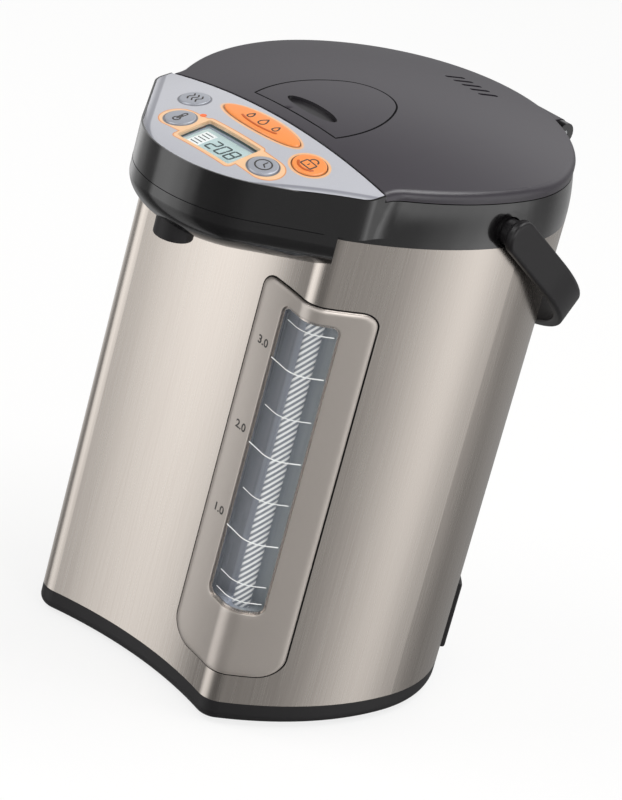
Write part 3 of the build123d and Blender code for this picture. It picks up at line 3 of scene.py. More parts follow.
import bmesh
import bpy
import numpy as np
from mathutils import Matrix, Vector


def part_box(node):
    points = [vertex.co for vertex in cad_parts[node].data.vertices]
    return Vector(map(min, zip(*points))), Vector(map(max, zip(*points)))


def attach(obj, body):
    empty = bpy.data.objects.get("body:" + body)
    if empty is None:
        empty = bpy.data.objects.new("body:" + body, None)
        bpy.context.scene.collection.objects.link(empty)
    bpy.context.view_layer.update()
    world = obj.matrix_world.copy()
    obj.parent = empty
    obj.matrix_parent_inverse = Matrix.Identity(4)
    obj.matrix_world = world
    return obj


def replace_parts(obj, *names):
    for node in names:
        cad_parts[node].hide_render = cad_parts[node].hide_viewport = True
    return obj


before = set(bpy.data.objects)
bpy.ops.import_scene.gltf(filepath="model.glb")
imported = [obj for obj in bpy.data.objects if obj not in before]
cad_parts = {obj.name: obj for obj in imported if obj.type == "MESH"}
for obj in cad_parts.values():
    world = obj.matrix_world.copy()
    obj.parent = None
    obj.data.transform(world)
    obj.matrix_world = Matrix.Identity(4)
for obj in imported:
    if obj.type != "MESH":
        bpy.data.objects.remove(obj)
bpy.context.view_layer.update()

# Electric thermo pot. Sizes are in millimetres and angles in degrees, as on the pot's drawing;
# +Z is up, the spout looks towards -Y and the level window is at +X. Meshes are in metres.
MM = 0.001


def top_of(node):
    """Height of a node's highest point."""
    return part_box(node)[1].z / MM


# ------------------------------------------------------------------ sizes
# Body from above: circles of the hollow front, the right flank and the ridge between them
FRONT_CENTRE = (0.0, -319.0)
FRONT_RADIUS = 216.0
FLANK_CENTRE = (-78.5, 0.0)
FLANK_RADIUS = 186.0
RIDGE_CENTRE = (63.81, -100.11)
RIDGE_RADIUS = 12.0
WINDOW_TURN = 19.3  # from the front to where the window faces

# Crowned top: its highest point, and its radii from side to side and from front to back
CROWN = top_of("lid_shell")
CROSS_RADIUS = 390.0
LONG_RADIUS = 596.0

# Beak: a round nose between two straight sides that slope back to the body
NOSE_Y = -117.0
NOSE_RADIUS = 58.0
BEAK_SLOPE = 51.0
BEAK_SIDE = 71.0  # where the straight sides end, from the middle
SEAM_HEIGHT = top_of("beak_cover")
SEAM_HALF = (0.06, 0.22)  # outwards and upwards

# Joint between the panel and the lid: halfway from the panel's rear to the lid's front
JOINT_Y = (-95.7 - 94.5) / 2
JOINT_REACH = 79.0
JOINT_WIDTH = 1.25

# Opening lever in the lid: its front edge, the circles of its tip and of its right side as place
# and radius, and the finger recess as place and half sizes
LEVER_FRONT = -84.0
LEVER_TIP = (0.0, -38.0, 24.0)
LEVER_SIDE = (-42.0, -66.93, 75.0)
LEVER_SEAM = 1.2  # width
RECESS = (0.0, -71.0, 18.0, 6.0)

# Level window, across the ridge and upwards: the surround, and the glass in its hole
TRIM_SIDES = (-37.4, 30.6)
TRIM_HEIGHTS = [corner.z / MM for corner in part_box("window_trim")]
TRIM_CORNERS = np.array([12.0, 8.0, 8.0, 15.0])  # lower right, then anticlockwise
TRIM_PROUD = 1.5
GLASS_SIDES = (-19.7, 16.1)
GLASS_HEIGHTS = [corner.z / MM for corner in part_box("window_glass")]
GLASS_CORNER = 5.0
GLASS_PROUD = 1.1
GLASS_GAP = 0.18
WINDOW_SEAM = 0.9  # width

# Graduation: heights of its marks, their reach across and width, and the numbers beside those
# for one, two and three litres
LITRE_MARKS = (113.6, 164.7, 216.1)
OTHER_MARKS = (88.3, 139.3, 190.1, 77.8, 241.2)
LITRE_REACH = (-18.4, 14.0)
OTHER_REACH = (-14.0, 13.6)
LITRE_WIDTH = 0.75
OTHER_WIDTH = 0.6
NUMBER_SIZE = 6.6
NUMBER_PLACE = (-27.2, 4.4)  # across, and over its mark

# Keys on the panel: place and half sizes
KEYS = {
    "dispense": (0.0, -108.8, 28.0, 8.0),
    "unlock": (44.1, -115.9, 9.5, 9.5),
    "reheat": (-44.1, -115.9, 8.4, 8.4),
    "timer": (31.8, -138.1, 8.4, 8.4),
    "temperature": (-31.8, -138.1, 8.4, 8.4),
}
KEY_PROUD = 0.8
KEY_EDGE = 0.75  # radius
KEY_DOME = 0.25
STEM_RADIUS = 1.8
FLANGE = (1.2, 1.0)  # width and thickness
FLANGE_GAP = 0.3
PANEL_WALL = 2.2
RIDGES = {"dispense": (15.0, 4.8), "unlock": (6.3, 6.3)}  # half length and half depth
RIDGE_LINE = 1.7
# Under the panel's face, where each key's stem ends: clear of the switch below it at full travel
STEM_FEET = {"dispense": -6.6, "unlock": -4.5, "reheat": -4.5, "timer": -5.5, "temperature": -5.5}

# Display: place and half sizes of its opening, its lean, its height at the middle, how far its
# glass stands over the module, and the pane's underside under the crown
SCREEN = (0.0, -140.1, 19.75, 12.35)
SCREEN_LEAN = 12.3
SCREEN_HEIGHT = top_of("display_module") - 3.05
CELL = 1.2
PANE_FLOOR = -3.4

# Digits on it: place of the first from the display's middle, half width and half height, lean, step
# from one to the next, line and gap at a corner
DIGIT_PLACE = (-3.2, 0.6)
DIGIT = np.array([2.3, 4.4])
DIGIT_LEAN = 0.45
DIGIT_STEP = 6.9
DIGIT_LINE = 1.25
DIGIT_GAP = 0.14

# White field beside them: place from the display's middle and half sizes, and its dashes' reach
LABEL = (-12.2, 0.4, 4.0, 7.6)
DASHES = (-14.9, -9.7)

# Floor and camera
FLOOR = 6.0  # from the middle to each side, in metres
LENS = 181.71
SENSOR = 36
CAMERA_PLACE = (1.2941, -1.6833, 1.0493)
CAMERA_TURN = (1.15669, -0.24426, 0.76257)

# ------------------------------------------------------------------ surfaces that pieces lie on
WINDOW_WAY = radians(WINDOW_TURN)
ACROSS = np.array([np.cos(WINDOW_WAY), np.sin(WINDOW_WAY)])  # along the window, to the right
OUTWARD = np.array([np.sin(WINDOW_WAY), -np.cos(WINDOW_WAY)])  # the way the window faces


def on_crown(x, y, lift):
    """The crowned top: a circle of LONG_RADIUS in each plane x = constant, its centre line dropping
    from side to side along a circle of CROSS_RADIUS. lift is measured upwards from it."""
    radius = LONG_RADIUS - CROSS_RADIUS + np.sqrt(CROSS_RADIUS**2 - x**2)
    height = CROWN - LONG_RADIUS + np.sqrt(radius**2 - y**2) + lift
    return np.stack(np.broadcast_arrays(x, y, height), axis=-1)


def on_ridge(across, height, proud):
    """The body round its right ridge, proud outwards: three circles in turn, the hollow front, the
    ridge and the flank, each met by a line square to the window's plane at a place across it."""
    ridge = np.array(RIDGE_CENTRE)
    front = np.array(FRONT_CENTRE) - ridge
    flank = np.array(FLANK_CENTRE) - ridge
    reach = RIDGE_RADIUS + proud
    to_front = front @ ACROSS / np.linalg.norm(front)
    to_flank = -flank @ ACROSS / np.linalg.norm(flank)
    on_round = np.sqrt(np.maximum(reach**2 - across**2, 0))
    on_front = front @ OUTWARD - np.sqrt((FRONT_RADIUS - proud) ** 2 - (across - front @ ACROSS) ** 2)
    on_flank = flank @ OUTWARD + np.sqrt((FLANK_RADIUS + proud) ** 2 - (across - flank @ ACROSS) ** 2)
    out = np.where(across > reach * to_flank, on_flank, on_round)
    out = np.where(across < reach * to_front, on_front, out)
    x = ridge[0] + across * ACROSS[0] + out * OUTWARD[0]
    y = ridge[1] + across * ACROSS[1] + out * OUTWARD[1]
    return np.stack(np.broadcast_arrays(x, y, height), axis=-1)


def on_screen(x, y, lift):
    """The display's flat face under the pane, leaning forwards like the panel."""
    height = SCREEN_HEIGHT + np.tan(radians(SCREEN_LEAN)) * (y - SCREEN[1]) + lift
    return np.stack(np.broadcast_arrays(x, y, height), axis=-1)


# ------------------------------------------------------------------ outlines
def rounded(place, half_length, half_width, corner, side=16, bend=10):
    """A rectangle with round corners, anticlockwise from its lower right one: each corner is a
    quarter circle of bend points, and each side between two corners has side steps."""
    corner = np.broadcast_to(corner, 4)[:, None]
    half = np.array([half_length, half_width]) - corner
    signs = np.array([[1, -1], [1, 1], [-1, 1], [-1, -1]])
    angle = np.radians(np.linspace(-90, 0, bend) + 90 * np.arange(4)[:, None])
    bow = np.stack([np.cos(angle), np.sin(angle)], -1)
    arcs = (np.array(place) + signs * half)[:, None] + corner[..., None] * bow
    share = np.linspace(0, 1, side + 1)[1:-1, None]
    sides = arcs[:, -1:] + (np.roll(arcs, -1, 0)[:, :1] - arcs[:, -1:]) * share
    return np.concatenate([arcs, sides], 1).reshape(-1, 2)


def arc(centre, radius, start, end, count=24):
    """Points along an arc from a start to an end angle."""
    angle = np.radians(np.linspace(start, end, count))
    return np.stack([centre[0] + radius * np.cos(angle), centre[1] + radius * np.sin(angle)], -1)


# ------------------------------------------------------------------ meshes
class Shape:
    """Collects grids of points into one mesh."""

    def __init__(self):
        self.points = []
        self.faces = []
        self.count = 0

    def grid(self, points, around=False, over=False):
        """Adds rows and columns of points as four-sided faces. around joins the last column to the
        first and over the last row to the first; rows that shrink to a point are welded later."""
        rows, columns = points.shape[:2]
        index = self.count + np.arange(rows * columns).reshape(rows, columns)
        if around:
            index = np.concatenate([index, index[:, :1]], 1)
        if over:
            index = np.concatenate([index, index[:1]], 0)
        quads = np.stack([index[:-1, :-1], index[:-1, 1:], index[1:, 1:], index[1:, :-1]], -1)
        self.points.append(points.reshape(-1, 3))
        self.faces.append(quads.reshape(-1, 4))
        self.count += rows * columns
        return self

    def piece(self, name, body, slot, material, sharp=40.0):
        """Makes the mesh, welds its doubles, turns its faces outwards and lets it ride on a body."""
        mesh = bpy.data.meshes.new(name)
        points = np.concatenate(self.points) * MM
        mesh.from_pydata(points, [], np.concatenate(self.faces))
        return settle(mesh, name, body, material, sharp)


def settle(mesh, name, body, material, sharp=40.0):
    """Cleans a mesh and makes it a piece of the pot."""
    work = bmesh.new()
    work.from_mesh(mesh)
    bmesh.ops.remove_doubles(work, verts=work.verts, dist=0.0005 * MM)
    bmesh.ops.dissolve_degenerate(work, edges=work.edges, dist=0.0002 * MM)
    bmesh.ops.recalc_face_normals(work, faces=work.faces)
    work.to_mesh(mesh)
    work.free()
    mesh.shade_smooth()
    mesh.set_sharp_from_angle(angle=radians(sharp))
    made = bpy.data.objects.new(name, mesh)
    bpy.context.scene.collection.objects.link(made)
    mesh.materials.append(material)
    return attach(made, body)


def patch(shape, outline, surface, top, under, rings=6):
    """A thin closed slab inside an outline: rings shrink to the outline's middle on top, and again
    underneath. top and under are heights over the surface."""
    middle = outline.mean(0)
    share = np.linspace(0, 1, rings)
    share = np.concatenate([share, share[::-1]])[:, None, None]
    place = middle + (outline - middle) * share
    height = np.repeat([top, under], rings)[:, None]
    return shape.grid(surface(place[..., 0], place[..., 1], height), around=True)


def stroke(shape, path, width, surface, base, rise=0.15, closed=False, ends=5):
    """A raised line of a flat oval section along a path: each point moves aside by half the width
    times the cosine, and up by rise times the sine, of an angle that goes once round. An open line
    ends in half circles."""
    path = np.asarray(path, float)
    if closed:
        ahead = np.roll(path, -1, 0) - np.roll(path, 1, 0)
        scale = np.ones(len(path))
    else:
        angle = np.linspace(0, np.pi / 2, ends)
        out = np.cos(angle)[:, None] * width / 2
        first = path[0] - (path[1] - path[0]) / np.linalg.norm(path[1] - path[0]) * out
        last = path[-1] + (path[-1] - path[-2]) / np.linalg.norm(path[-1] - path[-2]) * out
        scale = np.concatenate([np.sin(angle), np.ones(len(path) - 2), np.sin(angle[::-1])])
        path = np.concatenate([first, path[1:-1], last[::-1]])
        ahead = np.gradient(path, axis=0)
    ahead = ahead / np.linalg.norm(ahead, axis=1)[:, None]
    aside = np.stack([-ahead[:, 1], ahead[:, 0]], -1)
    around = np.linspace(0, 2 * np.pi, 10, endpoint=False)[:, None]
    place = path + aside * (np.cos(around) * scale * width / 2)[..., None]
    height = base + np.sin(around) * rise * np.maximum(scale, 0.02)
    return shape.grid(surface(place[..., 0], place[..., 1], height), around=closed, over=True)


# ------------------------------------------------------------------ finishes
def colour(code):
    """An sRGB colour such as C9BEB5 as linear red, green, blue and a full alpha."""
    value = np.array([int(code[i : i + 2], 16) for i in (0, 2, 4)]) / 255
    linear = np.where(value <= 0.04045, value / 12.92, ((value + 0.055) / 1.055) ** 2.4)
    return (*(float(part) for part in linear), 1.0)


def add(tree, kind, values=None, links=None, **settings):
    """Adds a node with its settings, its input values and what feeds its inputs."""
    node = tree.nodes.new(kind)
    for name, value in settings.items():
        setattr(node, name, value)
    for name, value in (values or {}).items():
        node.inputs[name].default_value = value
    for name, source in (links or {}).items():
        tree.links.new(source, node.inputs[name])
    return node


def finish(name, base, roughness, **values):
    """A new material: the colour and the constants of its surface, set on the shader's own sockets."""
    material = bpy.data.materials.new(name)
    material.use_nodes = True
    shader = material.node_tree.nodes["Principled BSDF"]
    shader.inputs["Base Color"].default_value = colour(base)
    shader.inputs["Roughness"].default_value = roughness
    for socket, value in values.items():
        shader.inputs[socket.replace("_", " ").title().replace("Ior", "IOR")].default_value = value
    return material, material.node_tree, shader


def grain(tree, shader, size, depth, rough, detail=2.0, stretch=(1, 1, 1)):
    """Fine relief of a surface: noise of a size in millimetres, stretched along the axes, moves the
    surface by depth millimetres and the roughness between two values."""
    place = add(tree, "ShaderNodeTexCoord")
    scale = add(
        tree,
        "ShaderNodeMapping",
        {"Scale": tuple(1 / (size * part * MM) for part in stretch)},
        {"Vector": place.outputs["Object"]},
    )
    source = {"Vector": scale.outputs["Vector"]}
    noise = add(tree, "ShaderNodeTexNoise", {"Scale": 1.0, "Detail": detail}, source)
    bump = add(tree, "ShaderNodeBump", {"Distance": depth * MM}, {"Height": noise.outputs["Fac"]})
    tree.links.new(bump.outputs["Normal"], shader.inputs["Normal"])
    limits = {"From Min": 0.3, "From Max": 0.7, "To Min": rough[0], "To Max": rough[1]}
    change = add(tree, "ShaderNodeMapRange", limits, {"Value": noise.outputs["Fac"]})
    tree.links.new(change.outputs["Result"], shader.inputs["Roughness"])
    return noise


def tint(tree, shader, first, second, source, low=0.3, high=0.7):
    """Lets the colour go from the first to the second as a node's value goes from low to high."""
    ramp = add(tree, "ShaderNodeValToRGB", links={"Fac": source})
    ramp.color_ramp.elements[0].position = low
    ramp.color_ramp.elements[0].color = colour(first)
    ramp.color_ramp.elements[1].position = high
    ramp.color_ramp.elements[1].color = colour(second)
    tree.links.new(ramp.outputs["Color"], shader.inputs["Base Color"])
    return ramp


def layer(tree, shader, under, code, share):
    """Prints a colour over what is under it, as far as the share goes, and shows the result."""
    mixed = add(tree, "ShaderNodeMix", data_type="RGBA")
    tree.links.new(share, mixed.inputs[0])
    tree.links.new(under, mixed.inputs[6])
    mixed.inputs[7].default_value = colour(code)
    tree.links.new(mixed.outputs[2], shader.inputs["Base Color"])
    return mixed.outputs[2]


def skinned(name, base, roughness, skin, shades=(), **values):
    """A finish with a fine relief, given as grain takes it, that goes between two shades."""
    material, tree, shader = finish(name, base, roughness, **values)
    relief = grain(tree, shader, *skin)
    if shades:
        tint(tree, shader, *shades, relief.outputs["Fac"])
    return material


def coloured(material):
    """A material's nodes, its shader and what feeds the shader's colour."""
    tree = material.node_tree
    shader = tree.nodes["Principled BSDF"]
    return tree, shader, shader.inputs["Base Color"].links[0].from_socket


def lid_charcoal():
    """Moulded polypropylene with a fine spark-eroded skin: a satin charcoal with a little brown in it.
    The grit of a tenth of a millimetre is drawn three times as coarse so that it shows."""
    skin = (0.32, 0.004, (0.31, 0.38), 3.0)
    return skinned("polypropylene_satin_charcoal", "302C33", 0.36, skin, ("2E2A31", "353138"), ior=1.6)


def lever_charcoal():
    """The lid's satin charcoal with painted shade in the lever's oval recess: its floor is drawn darker."""
    material = lid_charcoal()
    tree, shader, plain = coloured(material)
    place = add(tree, "ShaderNodeTexCoord")
    middle = (RECESS[0] * MM, RECESS[1] * MM, 0)
    moved = add(tree, "ShaderNodeVectorMath", {1: middle}, {0: place.outputs["Object"]}, operation="SUBTRACT")
    size = (1 / (RECESS[2] * MM), 1 / (RECESS[3] * MM), 0)
    shaped = add(tree, "ShaderNodeVectorMath", {1: size}, {0: moved.outputs["Vector"]}, operation="MULTIPLY")
    distance = add(tree, "ShaderNodeVectorMath", links={0: shaped.outputs["Vector"]}, operation="LENGTH")
    edge = {"From Min": 1.03, "From Max": 0.99}
    floor = add(tree, "ShaderNodeMapRange", edge, {"Value": distance.outputs["Value"]})
    # Painted shade: the recess's floor is drawn darker, as if in shade
    layer(tree, shader, plain, "1C1A1D", floor.outputs["Result"])
    material.name = "polypropylene_charcoal_with_painted_recess_shade"
    return material


def circuit_board():
    """Green glass-fibre board: the weave under its solder mask gives faint squares. They are drawn
    several times as coarse as they are so that they show."""
    material, tree, shader = finish("glass_fibre_board_green", "2E6B45", 0.35, ior=1.52)
    place = add(tree, "ShaderNodeTexCoord")
    shades = {"Color1": colour("2C6A42"), "Color2": colour("317348"), "Mortar": colour("4E8A58")}
    weave = add(
        tree,
        "ShaderNodeTexBrick",
        {"Scale": 1 / (4.5 * MM), "Mortar Size": 0.03, **shades},
        {"Vector": place.outputs["Object"]},
    )
    tree.links.new(weave.outputs["Color"], shader.inputs["Base Color"])
    return material


def across_window(tree):
    """How far a point lies across the window from the ridge's middle, in millimetres."""
    place = add(tree, "ShaderNodeTexCoord")
    middle = (RIDGE_CENTRE[0] * MM, RIDGE_CENTRE[1] * MM, 0)
    moved = add(tree, "ShaderNodeVectorMath", {1: middle}, {0: place.outputs["Object"]}, operation="SUBTRACT")
    way = (ACROSS[0] / MM, ACROSS[1] / MM, 0)
    source = {0: moved.outputs["Vector"]}
    return place, add(tree, "ShaderNodeVectorMath", {1: way}, source, operation="DOT_PRODUCT")


def gauge_tube_print():
    """Glass tube with white threads wound round it: slanting white bars four millimetres apart on a
    blue-grey ground."""
    material, tree, shader = finish("glass_tube_with_white_threads", "B9C0C6", 0.22, ior=1.5)
    place, across = across_window(tree)
    parts = add(tree, "ShaderNodeSeparateXYZ", links={"Vector": place.outputs["Object"]})
    slant = add(tree, "ShaderNodeMath", {1: -0.6}, {0: across.outputs["Value"]}, operation="MULTIPLY")
    rise = add(tree, "ShaderNodeMath", {1: 1 / (1.95 * MM)}, {0: parts.outputs["Z"]}, operation="MULTIPLY")
    phase = add(tree, "ShaderNodeMath", links={0: rise.outputs[0], 1: slant.outputs[0]}, operation="ADD")
    bars = add(tree, "ShaderNodeMath", {1: 1.0}, {0: phase.outputs[0]}, operation="PINGPONG")
    tint(tree, shader, "8A9098", "FFFFFF", bars.outputs[0], 0.4, 0.62)
    return material


def channel_grey():
    """Polished grey moulding behind the window's glass. Across it lies painted reflection of the curved glass
    over the ridge: dark at the left, a painted highlight as pale blue upright streaks beside the tube, and a
    green-grey right."""
    material, tree, shader = finish("moulded_channel_grey_with_painted_reflection", "8A9098", 0.3, ior=1.5)
    place, across = across_window(tree)
    streaks = grain(tree, shader, 2.2, 0.01, (0.24, 0.36), 1.0, (1, 1, 90))
    sway = add(tree, "ShaderNodeMath", {1: 0.12}, {0: streaks.outputs["Fac"]}, operation="MULTIPLY")
    share = add(
        tree,
        "ShaderNodeMapRange",
        {"From Min": GLASS_SIDES[0], "From Max": GLASS_SIDES[1], "To Min": -0.06, "To Max": 0.94},
        {"Value": across.outputs["Value"]},
    )
    fac = add(tree, "ShaderNodeMath", links={0: share.outputs["Result"], 1: sway.outputs[0]}, operation="ADD")
    ramp = tint(tree, shader, "7E8187", "A2A8A8", fac.outputs[0], 0.0, 1.0)
    # Painted reflection and highlight of the curved glass, from the left across the ridge to the right
    stops = ((0.2, "94979E"), (0.32, "B4B9C6"), (0.38, "D6DEEE"), (0.43, "AAB1C1"), (0.7, "B4BAC0"))
    for stop, code in stops:
        ramp.color_ramp.elements.new(stop).color = colour(code)
    return material


def clear_cover(name, base, weight):
    """Clear acrylic: mostly seen through, more of a mirror at a glancing angle. Its inner faces are
    left clear, so that the cover counts once."""
    material, tree, shader = finish(name, base, 0.08, ior=1.49)
    glance = add(tree, "ShaderNodeLayerWeight", {"Blend": 0.35})
    limits = {"To Min": weight, "To Max": 0.85}
    cover = add(tree, "ShaderNodeMapRange", limits, {"Value": glance.outputs["Fresnel"]})
    side = add(tree, "ShaderNodeNewGeometry")
    front = add(tree, "ShaderNodeMath", {0: 1.0}, {1: side.outputs["Backfacing"]}, operation="SUBTRACT")
    both = {0: cover.outputs["Result"], 1: front.outputs[0]}
    seen = add(tree, "ShaderNodeMath", links=both, operation="MULTIPLY")
    tree.links.new(seen.outputs[0], shader.inputs["Alpha"])
    return material


def silver_print():
    """Silver print under clear lacquer on the panel, cool and slightly blue. Over it lie painted shade where
    the border rolls down to the beak, a painted highlight beyond it along the front edge, the pale-orange
    field round the display, the keys' rims and narrow darker rings at the keys' edges that are painted shade
    in the gap round each key."""
    material = skinned(
        "silver_print_under_lacquer", "C9CAD0", 0.3, (0.3, 0.002, (0.29, 0.35), 3.0), ("B7B8BF", "C1C2C8"),
        metallic=0.15, coat_weight=0.6, coat_roughness=0.15,
    )
    tree, shader, shown = coloured(material)
    place = add(tree, "ShaderNodeTexCoord").outputs["Object"]
    flat = {1: (1 / MM, 1 / MM, 0)}
    scaled = add(tree, "ShaderNodeVectorMath", flat, {0: place}, operation="MULTIPLY").outputs["Vector"]

    # Distance from the nose's centre, or from the line back from it that runs with the straight side
    nose = add(tree, "ShaderNodeVectorMath", {1: (0, NOSE_Y, 0)}, {0: scaled}, operation="SUBTRACT")
    parts = add(tree, "ShaderNodeSeparateXYZ", links={"Vector": nose.outputs["Vector"]})
    half = add(tree, "ShaderNodeMath", links={0: parts.outputs["X"]}, operation="ABSOLUTE")
    halves = {"X": half.outputs[0], "Y": parts.outputs["Y"]}
    mirrored = {0: add(tree, "ShaderNodeCombineXYZ", links=halves).outputs["Vector"]}
    slope = radians(BEAK_SLOPE)
    outwards = {1: (np.sin(slope), -np.cos(slope), 0)}
    backwards = {1: (np.cos(slope), np.sin(slope), 0)}
    out = add(tree, "ShaderNodeVectorMath", outwards, mirrored, operation="DOT_PRODUCT")
    along = add(tree, "ShaderNodeVectorMath", backwards, mirrored, operation="DOT_PRODUCT")
    ahead = add(tree, "ShaderNodeMath", {1: 0.0}, {0: along.outputs["Value"]}, operation="MINIMUM")
    pair = {"X": out.outputs["Value"], "Y": ahead.outputs[0]}
    reach = {0: add(tree, "ShaderNodeCombineXYZ", links=pair).outputs["Vector"]}
    distance = add(tree, "ShaderNodeVectorMath", links=reach, operation="LENGTH").outputs["Value"]
    # Painted shade and painted highlight along the panel's rolled front edge
    for code, start, soft in PAINTED_EDGE_SHADING:
        limits = {"From Min": start - soft / 2, "From Max": start + soft / 2}
        share = add(tree, "ShaderNodeMapRange", limits, {"Value": distance})
        shown = layer(tree, shader, shown, code, share.outputs["Result"])

    for form, (x, y, half_length, half_depth), margin, code in PRINTS:
        moved = add(tree, "ShaderNodeVectorMath", {1: (x, y, 0)}, {0: scaled}, operation="SUBTRACT")
        source = {0: moved.outputs["Vector"]}
        folded = {0: add(tree, "ShaderNodeVectorMath", links=source, operation="ABSOLUTE").outputs["Vector"]}
        if form == "oval":
            size = {1: (1 / (half_length + margin), 1 / (half_depth + margin), 0)}
            shaped = add(tree, "ShaderNodeVectorMath", size, folded, operation="MULTIPLY")
            edge, soft = 1.0, PRINT_SOFT / half_depth
        else:
            corner = {1: (half_length - margin, half_depth - margin, 0)}
            inside = add(tree, "ShaderNodeVectorMath", corner, folded, operation="SUBTRACT")
            source = {0: inside.outputs["Vector"]}
            shaped = add(tree, "ShaderNodeVectorMath", {1: (0, 0, 0)}, source, operation="MAXIMUM")
            edge, soft = margin, PRINT_SOFT
        source = {0: shaped.outputs["Vector"]}
        distance = add(tree, "ShaderNodeVectorMath", links=source, operation="LENGTH").outputs["Value"]
        limits = {"From Min": edge + soft / 2, "From Max": edge - soft / 2}
        share = add(tree, "ShaderNodeMapRange", limits, {"Value": distance})
        shown = layer(tree, shader, shown, code, share.outputs["Result"])
    return material


def key_plastic(name, first, second, metallic=0.0):
    """Moulded key cap with a printed face under a hard coat."""
    skin = (0.4, 0.003, (0.3, 0.4))
    coat = {"coat_weight": 0.3, "coat_roughness": 0.15}
    return skinned(name, first, 0.34, skin, (first, second), metallic=metallic, **coat)


def print_ink(name, code, roughness=0.45):
    """Screen-printed ink, a little uneven in its gloss."""
    return skinned(name, code, roughness, (0.6, 0.002, (roughness - 0.05, roughness + 0.08)))


# Painted shade and highlight at the panel's border, by the distance from the nose's centre: colour, start,
# softness. The darker band is painted shade where the border rolls down to the beak, the paler one beyond it
# a painted highlight along the front edge.
PAINTED_EDGE_SHADING = (("8F9098", 52.6, 0.8), ("C3C4CA", 55.5, 2.5))

# Fields on the panel: form, place and half sizes, margin or corner, colour; and how soft their edges are.
# Most are print; the narrow dark rings at the keys' edges are painted shade in the gap round each key.
PRINT_SOFT = 0.4
PRINTS = (
    ("box", (0.5, -138.1, 44.3, 10.7), 10.6, "E59250"),
    ("box", (0.0, -140.1, 21.9, 14.6), 3.2, "E59250"),
    ("box", (0.5, -138.1, 43.7, 10.1), 10.0, "F4C89C"),
    ("box", (0.0, -140.1, 21.3, 14.0), 2.6, "F4C89C"),
    ("oval", KEYS["dispense"], 2.2, "F0BC8C"),
    ("oval", KEYS["unlock"], 2.2, "F0BC8C"),
    # Painted shade: narrow dark rings at the keys' edges, where the gap round each key falls dark
    ("oval", KEYS["dispense"], 0.7, "7C4A28"),
    ("oval", KEYS["unlock"], 0.7, "7C4A28"),
    ("oval", KEYS["reheat"], 0.9, "77787F"),
    ("oval", KEYS["timer"], 0.9, "77787F"),
    ("oval", KEYS["temperature"], 0.9, "77787F"),
)

# Stainless sheet with an upright satin brushing: fine lines a third of a millimetre apart, drawn
# twice as coarse so that they show, give soft upright bands of light
STEEL = skinned(
    "stainless_sheet_satin_brushed", "D3CAC2", 0.26,
    (0.7, 0.0015, (0.24, 0.28), 3.0, (1, 1, 90)), ("D0C7BF", "D7CFC7"), metallic=1.0,
)
# Stainless steel as it leaves the press: smooth, with faint streaks
DRAWN = skinned(
    "stainless_deep_drawn", "C4C4C2", 0.24,
    (6.0, 0.01, (0.18, 0.32), 4.0, (1, 1, 6)), ("B9B9B8", "CFCFCD"), metallic=1.0,
)
# Drawn steel can of a small motor, zinc plated
MOTOR = skinned("steel_can_zinc_plated", "A9AAA8", 0.38, (3.0, 0.01, (0.3, 0.45)), metallic=1.0)
# Bright zinc plate on steel screws and pins
SCREW = skinned("steel_zinc_plated", "C9CBCB", 0.25, (1.2, 0.004, (0.2, 0.34)), metallic=1.0)
LID = lid_charcoal()
LEVER = lever_charcoal()
# Moulded polypropylene off a polished tool: near black, semi-gloss, with soft long highlights
COLLAR = skinned(
    "polypropylene_semi_gloss_black", "0E0D0E", 0.18, (9.0, 0.006, (0.15, 0.21)), ior=1.55, coat_weight=0.6
)
# Moulded polypropylene with a coarse matt skin, as under the pot and round the inlet
BASE = skinned(
    "polypropylene_matt_black", "141214", 0.5, (0.45, 0.012, (0.46, 0.6), 3.0), ("121012", "171517"), ior=1.45
)
# Glass-filled polypropylene with a matt skin, a shade lighter than the base
HANDLE = skinned(
    "glass_filled_polypropylene_matt", "161416", 0.4,
    (0.5, 0.01, (0.36, 0.44), 3.0), ("141214", "191719"), ior=1.45,
)
# Heat-proof moulded plastic inside the pot, natural grey
INNER = skinned(
    "moulded_heat_proof_grey", "5E6064", 0.5, (0.8, 0.01, (0.45, 0.58)), ("595B5F", "64666A"), ior=1.5
)
# Milky silicone rubber, smooth and slightly waxy
SILICONE = skinned(
    "silicone_rubber_milky", "D9D8D2", 0.42, (2.0, 0.008, (0.36, 0.5)),
    ior=1.43, subsurface_weight=0.1, subsurface_scale=0.002,
)
# Matt black rubber of the foot ring
RUBBER = skinned("rubber_matt_black", "1E1E1E", 0.72, (0.5, 0.02, (0.66, 0.8)), ior=1.5)
# Painted shade in the seams: a near-black matt strip, from where next to no light comes back, laid where the
# gaps between parts fall dark
SHADOW = skinned(
    "painted_seam_shade_black", "0A090B", 0.85, (0.5, 0.002, (0.8, 0.9)), specular_ior_level=0.1
)
BOARD = circuit_board()
TUBE = gauge_tube_print()
CHANNEL = channel_grey()
WINDOW = clear_cover("acrylic_smoky_grey", "9298A0", 0.1)
PANE = clear_cover("acrylic_clear", "9FB0B4", 0.06)
# Polished red acrylic of the lamp's lens
LAMP_LENS = skinned("acrylic_red_lens", "F0703C", 0.2, (1.5, 0.001, (0.16, 0.24)), ior=1.49)
# Moulded blue-grey plastic round the display, with a fine matt skin
FRAME_GREY = skinned(
    "moulded_frame_blue_grey", "8E98A4", 0.4, (0.4, 0.003, (0.36, 0.46)), ("8A94A0", "929CA8"), ior=1.5
)
# Liquid crystal display, reflective: pale blue-green in faint soft clouds
DISPLAY = skinned(
    "liquid_crystal_pale_green", "B9CFCF", 0.3, (14.0, 0.002, (0.26, 0.34)), ("B2C8C8", "C2D6D6"), ior=1.5
)
PANEL = silver_print()
